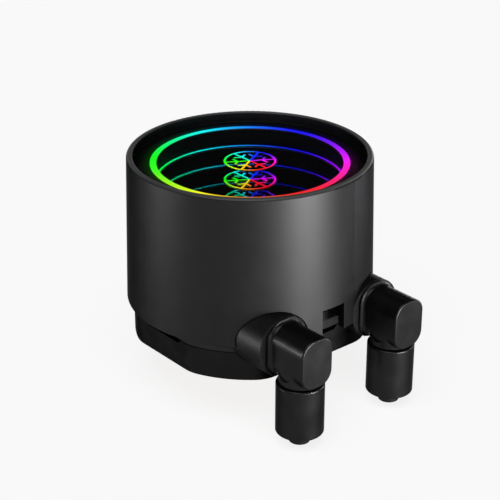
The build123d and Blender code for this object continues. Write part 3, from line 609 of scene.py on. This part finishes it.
class GeometryTree(Graph):
    """A geometry node tree with named inputs, run once and kept as a plain mesh."""

    def __init__(self, name: str, sizes: dict[str, float | int], seats: list[Vector] | None = None) -> None:
        """Makes the tree's inputs.

        Args:
            name: the tree's name.
            sizes: each input's name and value; a whole number makes a count.
            seats: the points that a repeated part is placed on.
        """
        super().__init__(bpy.data.node_groups.new(name, "GeometryNodeTree"))
        self.sizes = sizes
        self.seats = seats or []
        face = self.tree.interface
        face.new_socket("Geometry", in_out="OUTPUT", socket_type="NodeSocketGeometry")
        face.new_socket("Seats", in_out="INPUT", socket_type="NodeSocketGeometry")
        for label, size in sizes.items():
            kind = "NodeSocketInt" if isinstance(size, int) else "NodeSocketFloat"
            face.new_socket(label, in_out="INPUT", socket_type=kind)
        face.new_socket("Finish", in_out="INPUT", socket_type="NodeSocketMaterial")
        self.inputs = super().add("NodeGroupInput").outputs

    def add(self, kind: str, values: Values | None = None, **settings: Value) -> bpy.types.Node:
        """Adds one node; a value that is a text names one of the tree's inputs to join."""
        named = {key: self.inputs[value] for key, value in (values or {}).items() if isinstance(value, str)}
        return super().add(kind, (values or {}) | named, **settings)

    def vector(self, *parts: Value) -> Socket:
        """Makes a vector of its parts; those that are left out are 0."""
        return self.out("ShaderNodeCombineXYZ", dict(enumerate(parts)))

    def turned_bar(self, radius: Value, width: Value, height: Value, segments: Value) -> Socket:
        """Sweeps a rectangle along a circle.

        Args:
            radius: the circle's radius.
            width: the bar's width across the circle.
            height: the bar's height.
            segments: the steps round the circle.

        Returns:
            The ring's geometry.
        """
        path = self.out("GeometryNodeCurvePrimitiveCircle", {"Resolution": segments, "Radius": radius})
        section = self.out("GeometryNodeCurvePrimitiveQuadrilateral", {"Width": width, "Height": height})
        return self.out("GeometryNodeCurveToMesh", {"Curve": path, "Profile Curve": section})

    def bar(self, size: tuple[Value, ...], shift: tuple[Value, ...] = (), turn: float = 0.0) -> Socket:
        """Makes a straight bar.

        Args:
            size: its length, width and height.
            shift: where its middle goes, if not to the origin.
            turn: its turn about Z, in radians.

        Returns:
            The bar's geometry.
        """
        block = self.out("GeometryNodeMeshCube", {"Size": self.vector(*size)})
        values = {"Geometry": block, "Translation": self.vector(*shift), "Rotation": (0.0, 0.0, turn)}
        return self.out("GeometryNodeTransform", values)

    def cone(self, low: Value, height: Value, radius: Value, top: Value, sides: int = 32) -> Socket:
        """Makes a slice of a solid cone from its low end up, or a prism where both radii are the same."""
        sizes = {"Vertices": sides, "Radius Bottom": radius, "Radius Top": top, "Depth": height}
        return self.lifted(self.out("GeometryNodeMeshCone", sizes), low)

    def lifted(self, part: Socket, height: Value) -> Socket:
        """Moves a geometry along Z."""
        values = {"Geometry": part, "Translation": self.vector(0, 0, height)}
        return self.out("GeometryNodeTransform", values)

    def thread(self, low: Value, length: Value, radius: Value, pitch: Value, line: Value) -> Socket:
        """Winds a screw's thread round the Z axis.

        Args:
            low: the height where it starts.
            length: its length along the axis.
            radius: the radius of the line's middle.
            pitch: its rise in one turn.
            line: the line's own radius.

        Returns:
            The thread.
        """
        steps_in_turn, line_sides = 16, 5
        turns = self.math("DIVIDE", length, pitch)
        rise = {"Resolution": steps_in_turn, "Rotations": turns, "Height": length}
        path = self.out("GeometryNodeCurveSpiral", rise | {"Start Radius": radius, "End Radius": radius})
        section = self.out("GeometryNodeCurvePrimitiveCircle", {"Resolution": line_sides, "Radius": line})
        curves = {"Curve": path, "Profile Curve": section, "Fill Caps": True}
        return self.lifted(self.out("GeometryNodeCurveToMesh", curves), low)

    def merged(self, *solids: Socket) -> Socket:
        """Makes one solid of several."""
        values = {"Mesh 2": list(solids)}
        return self.out("GeometryNodeMeshBoolean", values, operation="UNION", solver="EXACT")

    def cut(self, solid: Socket, tool: Socket) -> Socket:
        """Takes one solid from another."""
        values = {"Mesh 1": solid, "Mesh 2": tool}
        return self.out("GeometryNodeMeshBoolean", values, operation="DIFFERENCE", solver="EXACT")

    def on_seats(self, part: Socket, flip: float, seed: int = 7) -> Socket:
        """Places a part on every seat, each turned its own way.

        Args:
            part: the part, which stands on the origin.
            flip: its turn about X, in radians.
            seed: the seed of the turns about Z.

        Returns:
            The instances.
        """
        values = {"Min": 0.0, "Max": tau, "Seed": seed}
        turn = self.add("FunctionNodeRandomValue", values, data_type="FLOAT")
        angle = next(socket for socket in turn.outputs if socket.enabled)
        values = {"Points": "Seats", "Instance": part, "Rotation": self.vector(flip, 0, angle)}
        return self.out("GeometryNodeInstanceOnPoints", values)

    def joined(self, *parts: Socket) -> Socket:
        """Joins several geometries."""
        return self.out("GeometryNodeJoinGeometry", {0: list(parts)})

    def round_axis(self, part: Socket, count: Value) -> Socket:
        """Repeats a geometry evenly round the Z axis.

        Args:
            part: the geometry, in its first place.
            count: how many there are.

        Returns:
            The instances.
        """
        spots = self.out("GeometryNodeMeshLine", {"Count": count, "Offset": (0.0, 0.0, 0.0)})
        index = self.out("GeometryNodeInputIndex")
        angle = self.math("MULTIPLY", index, self.math("DIVIDE", tau, count))
        values = {"Points": spots, "Instance": part, "Rotation": self.vector(0, 0, angle)}
        return self.out("GeometryNodeInstanceOnPoints", values)

    def piece(self, name: str, result: Socket, height: Value, finish: Finish) -> Piece:
        """Closes the tree, runs it and keeps its result.

        Args:
            name: the piece's name.
            result: the geometry to keep.
            height: how far it is lifted along Z.
            finish: its finish.

        Returns:
            The piece, as a plain mesh at the origin.
        """
        real = self.out("GeometryNodeRealizeInstances", {"Geometry": self.lifted(result, height)})
        dressed = {"Geometry": real, "Material": "Finish"}
        self.add("NodeGroupOutput", {"Geometry": self.out("GeometryNodeSetMaterial", dressed)})
        seats = bpy.data.meshes.new(f"{name}_seats")
        seats.from_pydata(self.seats, [], [])
        carrier = linked_object(f"{name}_tree", seats)
        modifier = carrier.modifiers.new("tree", "NODES")
        modifier.node_group = self.tree
        for socket in self.tree.interface.items_tree:
            if socket.in_out == "INPUT" and socket.name != "Seats":
                held = finish.material() if socket.name == "Finish" else self.sizes[socket.name]
                modifier[socket.identifier] = held
        graph = bpy.context.evaluated_depsgraph_get()
        mesh = bpy.data.meshes.new_from_object(carrier.evaluated_get(graph))
        bpy.data.objects.remove(carrier)
        mesh.name = name
        mesh.materials.clear()
        mesh.materials.append(finish.material())
        for face in mesh.polygons:
            face.material_index = 0
        return linked_object(name, settled(mesh))


@dataclass(frozen=True)
class ScrewSet:
    """Equal screws on one circle, with a hexagon socket and a cut thread."""

    node: str
    circle: float
    angles: tuple[float, ...]
    head_radius: float
    head_height: float
    foot_radius: float
    shank_radius: float
    thread_pitch: float
    head_up: bool = False
    socket_depth: float = 0.7 * MM
    bevel: float = 0.15 * MM
    thread_line: float = 0.14 * MM
    thread_sink: float = 1.5

    def seats(self, level: float) -> list[Vector]:
        """Gives the middle of each head's outer face, at a level."""
        turns = [radians(angle) for angle in self.angles]
        return [Vector((self.circle * cos(turn), self.circle * sin(turn), level)) for turn in turns]

    def sizes(self, length: float) -> dict[str, float]:
        """Gives the tree's inputs.

        Args:
            length: the screw's whole length.

        Returns:
            Each input's name and value.
        """
        core = self.shank_radius - self.thread_sink * self.thread_line
        thread_low = self.head_height + self.thread_pitch / 2
        return {
            "Bevel": self.bevel,
            "Bevel Radius": self.head_radius - self.bevel,
            "Head Radius": self.head_radius,
            "Head Height": self.head_height - self.bevel,
            "Foot Radius": self.foot_radius,
            "Core Radius": core,
            "Core Low": self.head_height - self.bevel,
            "Core Length": length - self.head_height,
            "Tip Low": length - self.bevel,
            "Tip Radius": core - self.bevel,
            "Socket Radius": self.shank_radius,
            "Socket Depth": self.socket_depth + self.bevel,
            "Thread Low": thread_low,
            "Thread Length": length - thread_low - self.thread_pitch / 2,
            "Thread Radius": self.shank_radius - self.thread_line,
            "Thread Pitch": self.thread_pitch,
            "Thread Line": self.thread_line,
        }

    def build(self) -> Piece:
        """Makes the screws in place of their plain solids.

        Returns:
            The screws, as one piece.
        """
        low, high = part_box(self.node)
        level, flip = (high.z, pi) if self.head_up else (low.z, 0.0)
        tree = GeometryTree(self.node, self.sizes(high.z - low.z), self.seats(level))
        rim = tree.cone(0.0, "Bevel", "Bevel Radius", "Head Radius")
        head = tree.cone("Bevel", "Head Height", "Head Radius", "Foot Radius")
        core = tree.cone("Core Low", "Core Length", "Core Radius", "Core Radius")
        tip = tree.cone("Tip Low", "Bevel", "Core Radius", "Tip Radius")
        socket_low = tree.math("MULTIPLY", "Bevel", -1.0)
        socket = tree.cone(socket_low, "Socket Depth", "Socket Radius", "Socket Radius", sides=6)
        solid = tree.cut(tree.merged(rim, head, core, tip), socket)
        thread = tree.thread("Thread Low", "Thread Length", "Thread Radius", "Thread Pitch", "Thread Line")
        placed = tree.on_seats(tree.joined(solid, thread), flip)
        screws = tree.piece(f"{self.node}_cut", placed, 0.0, Palette.SCREW.value)
        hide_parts(self.node)
        return screws


@dataclass
class SubAssembly:
    """A named group of solids that stay, with the pieces that are made for it."""

    solids: tuple[str, ...] = ()
    body: Body = Body.HOUSING
    screws: ScrewSet | None = None

    def finish(self, solid: str, slot: str) -> Finish:
        """Gives one solid's finish, by its material slot."""
        return Palette.of_slot(slot).value

    def dress(self) -> None:
        """Gives each solid its finish."""
        for solid in self.solids:
            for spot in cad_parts[solid].material_slots:
                slot = spot.material.name.split(".")[0]
                spot.material = self.finish(solid, slot).material()

    def pieces(self) -> list[Piece]:
        """Makes the group's own pieces: its screws, if it has any."""
        return [self.screws.build()] if self.screws else []

    def build(self) -> int:
        """Dresses the solids, makes the pieces and lets them ride on the body.

        Returns:
            How many solids the group holds.
        """
        title = type(self).__name__
        self.dress()
        log.info("%s: %d solids dressed: %s", title, len(self.solids), ", ".join(self.solids))
        for part in self.pieces():
            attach(part, self.body.value)
            log.info("%s: made %s with %d faces", title, part.name, len(part.data.polygons))
        return len(self.solids)


@dataclass
class ColdPlate(SubAssembly):
    """Copper plate with its gasket, jet plate and countersunk screws."""

    solids: tuple[str, ...] = ("cold_plate", "plate_gasket", "jet_plate", "plate_screws")
    screws: ScrewSet = ScrewSet(
        "plate_screws", circle=23.3 * MM, angles=tuple(range(0, 360, 45)),
        head_radius=1.9 * MM, head_height=0.9 * MM, foot_radius=1.0 * MM, shank_radius=1.0 * MM,
        thread_pitch=0.4 * MM, bevel=0.05 * MM, thread_line=0.1 * MM,
    )


@dataclass
class PumpBase(SubAssembly):
    """Base block and pump housing with seals, cable grommet and the screws that hold the shell."""

    solids: tuple[str, ...] = (
        "base_block", "pump_housing", "volute_plate", "chamber_seal", "cable_grommet", "body_screws",
    )
    screws: ScrewSet = ScrewSet(
        "body_screws", circle=30.2 * MM, angles=(25, 65, 115, 155, 205, 335),
        head_radius=2.5 * MM, head_height=2.0 * MM, foot_radius=2.5 * MM, shank_radius=1.5 * MM,
        thread_pitch=0.7 * MM,
    )

    def finish(self, solid: str, slot: str) -> Finish:
        """Gives one solid's finish; the housing with its port bosses shines more than the base."""
        return PORT_BOSS if solid == "pump_housing" else super().finish(solid, slot)


@dataclass
class PumpMotor(SubAssembly):
    """Fixed half of the motor, outside the can, with the shaft and its washers."""

    solids: tuple[str, ...] = ("stator_core", "stator_coils", "pump_shaft", "thrust_washers")


@dataclass
class Rotor(SubAssembly):
    """Turning half of the motor with the impeller."""

    solids: tuple[str, ...] = ("impeller", "rotor_magnet", "rotor_bush")
    body: Body = Body.ROTOR


@dataclass
class ControlBoard(SubAssembly):
    """Control board with its parts and the screws that clamp the lamp stack on it."""

    solids: tuple[str, ...] = ("control_board", "board_components", "stack_screws")
    screws: ScrewSet = ScrewSet(
        "stack_screws", circle=23.6 * MM, angles=(90, 210, 330),
        head_radius=2.3 * MM, head_height=1.2 * MM, foot_radius=2.3 * MM, shank_radius=1.25 * MM,
        thread_pitch=0.5 * MM, head_up=True,
    )


@dataclass
class OuterShell(SubAssembly):
    """Drafted metal shell with its rim, arched port openings and square notch."""

    solids: tuple[str, ...] = ("outer_shell",)


@dataclass
class SwivelFitting(SubAssembly):
    """Swivelling elbow with its crimped ferrule, seal and snap ring."""

    body: Body = Body.LEFT

    def __post_init__(self) -> None:
        """Names the fitting's solids after its side."""
        kinds = ("elbow", "ferrule", "swivel_seal", "snap_ring")
        self.solids = tuple(f"{self.body.name.lower()}_{kind}" for kind in kinds)


@dataclass
class MirrorLamp(SubAssembly):
    """Front glass, lit ring, mask and emblem, which face the rear mirror on its carrier."""

    solids: tuple[str, ...] = (
        "mirror_carrier", "rear_mirror", "led_board", "led_chips",
        "front_glass", "light_guide", "centre_emblem", "mask_film",
    )
    chip_circle: float = 29.8 * MM
    chip_width: float = 1.6 * MM
    chip_length: float = 3.0 * MM
    chip_count: int = 24
    window_floor_share: float = 0.75
    window_top_share: float = 0.4
    window_foot_share: float = 0.3
    film_gap: float = 0.02 * MM
    glass_bevel: float = 0.2 * MM
    glass_foot_bevel: float = 0.05 * MM
    ring_inner: float = 26.5 * MM
    ring_outer: float = 28.4 * MM
    ring_depth: float = 0.33 * MM
    foot_width: float = 1.8 * MM
    emblem_line: float = 0.65 * MM
    emblem_branch_at: float = 3.5 * MM
    emblem_branch: float = 2.3 * MM
    emblem_arms: int = 6
    segments: int = 256

    def finish(self, solid: str, slot: str) -> Finish:
        """Gives one solid's finish; the carrier gets a darker copy of the inner plastic, painted shade that
        keeps the lamp well black so that only the ring shows.
        """
        return LAMP_WELL_SHADE if solid == "mirror_carrier" else super().finish(solid, slot)

    def glass(self) -> Piece:
        """Makes the front glass, half silvered underneath inside the ring.

        Returns:
            The glass.
        """
        low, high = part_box("front_glass")
        radius, bevel, foot_bevel = high.x, self.glass_bevel, self.glass_foot_bevel
        profile = [
            (0.0, low.z, 1), (self.ring_inner, low.z, 0),
            (radius - foot_bevel, low.z, 0), (radius, low.z + foot_bevel, 0),
            (radius, high.z - bevel, 0), (radius - bevel, high.z, 0), (0.0, high.z, 0),
        ]
        glass = linked_object("mirror_glass", turned_mesh("mirror_glass", profile, self.segments))
        glass.data.materials.append(Palette.GLASS.value.material())
        glass.data.materials.append(COATING.material())
        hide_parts("front_glass")
        return glass

    def ring(self) -> Piece:
        """Makes the lit lip of the light guide with its foot.

        Returns:
            The lit ring.
        """
        low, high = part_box("light_guide")
        sizes = {
            "Lip Radius": (self.ring_inner + self.ring_outer) / 2,
            "Lip Width": self.ring_outer - self.ring_inner,
            "Lip Height": self.ring_depth,
            "Foot Radius": high.x - self.foot_width / 2,
            "Foot Width": self.foot_width,
            "Foot Height": high.z - low.z - self.ring_depth,
            "Foot Drop": (low.z - high.z) / 2,
            "Segments": self.segments,
        }
        tree = GeometryTree("lit_ring", sizes)
        lip = tree.turned_bar("Lip Radius", "Lip Width", "Lip Height", "Segments")
        foot = tree.turned_bar("Foot Radius", "Foot Width", "Foot Height", "Segments")
        lowered = tree.lifted(foot, "Foot Drop")
        level = high.z - self.film_gap - self.ring_depth / 2
        ring = tree.piece("lit_ring", tree.joined(lip, lowered), level, Palette.GUIDE.value)
        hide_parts("light_guide")
        return ring

    def emblem(self) -> Piece:
        """Makes the lit snowflake in its ring.

        Returns:
            The emblem.
        """
        low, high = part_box("centre_emblem")
        reach = high.x - self.emblem_line / 2
        arm_step = tau / self.emblem_arms
        sizes = {
            "Ring Radius": reach,
            "Line": self.emblem_line,
            "Thickness": high.z - low.z - self.film_gap,
            "Arm Length": reach,
            "Arm Middle": reach / 2,
            "Branch Length": self.emblem_branch,
            "Branch X": self.emblem_branch_at + self.emblem_branch / 2 * cos(arm_step),
            "Branch Y": self.emblem_branch / 2 * sin(arm_step),
            "Arms": self.emblem_arms,
            "Segments": self.segments // 2,
        }
        tree = GeometryTree("snowflake", sizes)
        section = ("Line", "Thickness")
        ring = tree.turned_bar("Ring Radius", *section, "Segments")
        arm = tree.bar(("Arm Length", *section), ("Arm Middle",))
        branch = ("Branch Length", *section)
        right = tree.bar(branch, ("Branch X", "Branch Y"), arm_step)
        across = tree.math("MULTIPLY", "Branch Y", -1.0)
        left = tree.bar(branch, ("Branch X", across), -arm_step)
        arms = tree.round_axis(tree.joined(arm, right, left), "Arms")
        turned = tree.out("GeometryNodeTransform", {"Geometry": arms, "Rotation": (0, 0, arm_step / 2)})
        level = (low.z + high.z - self.film_gap) / 2
        emblem = tree.piece("lit_emblem", tree.joined(ring, turned), level, EMBLEM_GLOW)
        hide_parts("centre_emblem")
        return emblem

    def mask(self) -> Piece:
        """Makes the printed black border under the glass, with a painted glow of the ring's light near the
        ring.

        Returns:
            The mask.
        """
        low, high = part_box("mask_film")
        sizes = {
            "Radius": (self.ring_outer + high.x) / 2,
            "Width": high.x - self.ring_outer,
            "Thickness": high.z - low.z - self.film_gap,
            "Segments": self.segments,
        }
        tree = GeometryTree("border_mask", sizes)
        band = tree.turned_bar("Radius", "Width", "Thickness", "Segments")
        mask = tree.piece("border_mask", band, (low.z + high.z - self.film_gap) / 2, Palette.MASK.value)
        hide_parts("mask_film")
        return mask

    def chips(self) -> Piece:
        """Makes the lamp chips, each a package with a round window.

        Returns:
            The chips, as one piece.
        """
        low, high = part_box("led_chips")
        height = high.z - low.z
        sizes = {
            "Chip Circle": self.chip_circle,
            "Chip Width": self.chip_width,
            "Chip Length": self.chip_length,
            "Chip Height": height,
            "Chip Middle": height / 2,
            "Window Low": height * self.window_floor_share,
            "Window Radius": self.chip_width * self.window_top_share,
            "Window Foot": self.chip_width * self.window_foot_share,
            "Chips": self.chip_count,
        }
        tree = GeometryTree("lamp_chips", sizes)
        package = tree.bar(("Chip Width", "Chip Length", "Chip Height"))
        raised = tree.lifted(package, "Chip Middle")
        window = tree.cone("Window Low", "Chip Height", "Window Foot", "Window Radius")
        outward = tree.vector("Chip Circle")
        chip = {"Geometry": tree.cut(raised, window), "Translation": outward}
        placed = tree.out("GeometryNodeTransform", chip)
        chips = tree.piece("lamp_chips", tree.round_axis(placed, "Chips"), low.z, Palette.CHIP.value)
        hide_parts("led_chips")
        return chips

    def pieces(self) -> list[Piece]:
        """Makes the lamp's glass, light guide, emblem, mask and chips."""
        return [self.glass(), self.ring(), self.emblem(), self.mask(), self.chips()]


@dataclass
class Lamp:
    """One rectangular studio lamp, placed by its bearing from the camera's side."""

    name: str
    bearing: float
    elevation: float
    distance: float
    width: float
    height: float
    radiance: float

    def build(self, studio: "Studio") -> None:
        """Hangs the lamp so that it faces the pump head.

        Args:
            studio: the studio that it stands in.
        """
        light = bpy.data.lights.new(self.name, "AREA")
        light.shape = "RECTANGLE"
        light.size, light.size_y = self.width, self.height
        light.energy = self.radiance * pi * self.width * self.height
        lamp = linked_object(self.name, light)
        away = studio.direction(self.bearing, self.elevation)
        lamp.location = studio.target + away * self.distance
        lamp.rotation_euler = (-away).to_track_quat("-Z", "Y").to_euler()
        lamp.visible_camera = False
        lamp.light_linking.receiver_collection = studio.unlit


@dataclass
class Studio:
    """Pale floor that curves up at its edge, low strips round the pump head, and the camera."""

    azimuth: float = -40.13
    elevation: float = 25.04
    distance: float = 414.24 * MM
    target: Vector = field(default_factory=lambda: Vector((0, 0, 25.03 * MM)))
    lens: float = 102.23
    clip: tuple[float, float] = (0.01, 20.0)
    floor_level: float = -12.5 * MM
    floor_radius: float = 2.4
    floor_segments: int = 96
    wall_radius: float = 1.2
    wall_turn: float = 75.0
    wall_steps: int = 16
    floor_colour: Colour = (0.8, 0.8, 0.8)
    floor_glow: float = 0.85
    gloom: float = 0.0015
    sky_energy: float = 2.6
    sky_angle: float = 50.0
    sky_bearing: float = -15.0
    sky_elevation: float = 68.0
    glossy_bounces: int = 14
    all_bounces: int = 20
    clear_bounces: int = 24
    unlit: Collection = field(default_factory=lambda: bpy.data.collections.new("unlit_by_strips"))
    strips: tuple[Lamp, ...] = (
        Lamp("key_strip", 47.5, -4.2, 0.28, 0.112, 0.033, 165.0),
        Lamp("front_low", 20, -4.2, 0.28, 0.09, 0.033, 8.0),
        Lamp("left_strip", -79, -4.2, 0.28, 0.112, 0.033, 33.0),
        Lamp("right_back", 112, -2.0, 0.26, 0.16, 0.065, 45.0),
        Lamp("right_rim", 150, -2.0, 0.26, 0.1, 0.065, 10.0),
    )

    def direction(self, bearing: float, elevation: float) -> Vector:
        """Gives a direction seen from the pump head.

        Args:
            bearing: degrees from the camera's side, to the camera's right.
            elevation: degrees above the floor.

        Returns:
            The unit vector.
        """
        around = radians(self.azimuth - 90 + bearing)
        up = radians(elevation)
        return Vector((cos(around) * cos(up), sin(around) * cos(up), sin(up)))

    def camera(self) -> None:
        """Sets the camera where the photograph was taken from."""
        data = bpy.data.cameras.new("camera")
        data.lens = self.lens
        data.clip_start, data.clip_end = self.clip
        camera = linked_object("camera", data)
        away = self.direction(0, self.elevation)
        camera.location = self.target + away * self.distance
        camera.rotation_euler = away.to_track_quat("Z", "Y").to_euler()
        bpy.context.scene.camera = camera

    def paper(self) -> Material:
        """Makes the floor's paper, which looks white but lights the pump head as matt paper does.

        Returns:
            The material.
        """
        paper = bpy.data.materials.new("floor_paper")
        paper.use_nodes = True
        paper.node_tree.nodes.clear()
        graph = Graph(paper.node_tree)
        matt = graph.out("ShaderNodeBsdfDiffuse", {"Color": (*self.floor_colour, 1)})
        white = graph.out("ShaderNodeEmission", {"Color": (1, 1, 1, 1), "Strength": 1.0})
        ray = graph.add("ShaderNodeLightPath").outputs
        seen = graph.math("MAXIMUM", ray["Is Camera Ray"], ray["Is Glossy Ray"])
        seen = graph.math("MAXIMUM", seen, ray["Is Transmission Ray"])
        share = graph.math("MULTIPLY", seen, self.floor_glow)
        mixed = graph.out("ShaderNodeMixShader", {0: share, 1: matt, 2: white})
        graph.add("ShaderNodeOutputMaterial", {"Surface": mixed})
        return paper

    def floor(self) -> None:
        """Lays the floor, which curves up at its edge and takes no light from the strips."""
        profile = [(0.0, self.floor_level, 0)]
        for step in range(self.wall_steps + 1):
            turn = radians(self.wall_turn) * step / self.wall_steps
            rise = self.wall_radius * (1 - cos(turn))
            profile.append((self.floor_radius + self.wall_radius * sin(turn), self.floor_level + rise, 0))
        floor = linked_object("floor", turned_mesh("floor", profile, self.floor_segments))
        floor.data.materials.append(self.paper())
        self.unlit.objects.link(floor)
        self.unlit.collection_objects[0].light_linking.link_state = "EXCLUDE"

    def world(self) -> None:
        """Sets the dim room behind the lamps."""
        world = bpy.data.worlds.new("room")
        world.use_nodes = True
        background = world.node_tree.nodes["Background"]
        background.inputs["Color"].default_value = (self.gloom, self.gloom, self.gloom, 1)
        bpy.context.scene.world = world

    def sky(self) -> None:
        """Lights the floor evenly from high in front."""
        light = bpy.data.lights.new("overhead", "SUN")
        light.energy = self.sky_energy
        light.angle = radians(self.sky_angle)
        lamp = linked_object("overhead", light)
        away = self.direction(self.sky_bearing, self.sky_elevation)
        lamp.rotation_euler = away.to_track_quat("Z", "Y").to_euler()

    def build(self) -> None:
        """Sets up the studio."""
        self.camera()
        self.floor()
        self.world()
        self.sky()
        for strip in self.strips:
            strip.build(self)
        scene = bpy.context.scene
        scene.view_settings.view_transform = "Standard"
        scene.cycles.glossy_bounces = self.glossy_bounces
        scene.cycles.max_bounces = self.all_bounces
        scene.cycles.transparent_max_bounces = self.clear_bounces


def main() -> None:
    """Builds the studio and then the pump head, one sub-assembly after the other."""
    logging.basicConfig(level=logging.INFO, format="%(name)s: %(message)s")
    Studio().build()
    log.info("studio ready")
    groups = (
        ColdPlate(), PumpBase(), Rotor(), PumpMotor(), ControlBoard(), OuterShell(), MirrorLamp(),
        SwivelFitting(body=Body.LEFT), SwivelFitting(body=Body.RIGHT),
    )
    count = sum(group.build() for group in groups)
    log.info("%d of %d solids dressed", count, len(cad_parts))


if __name__ == "__main__":
    main()
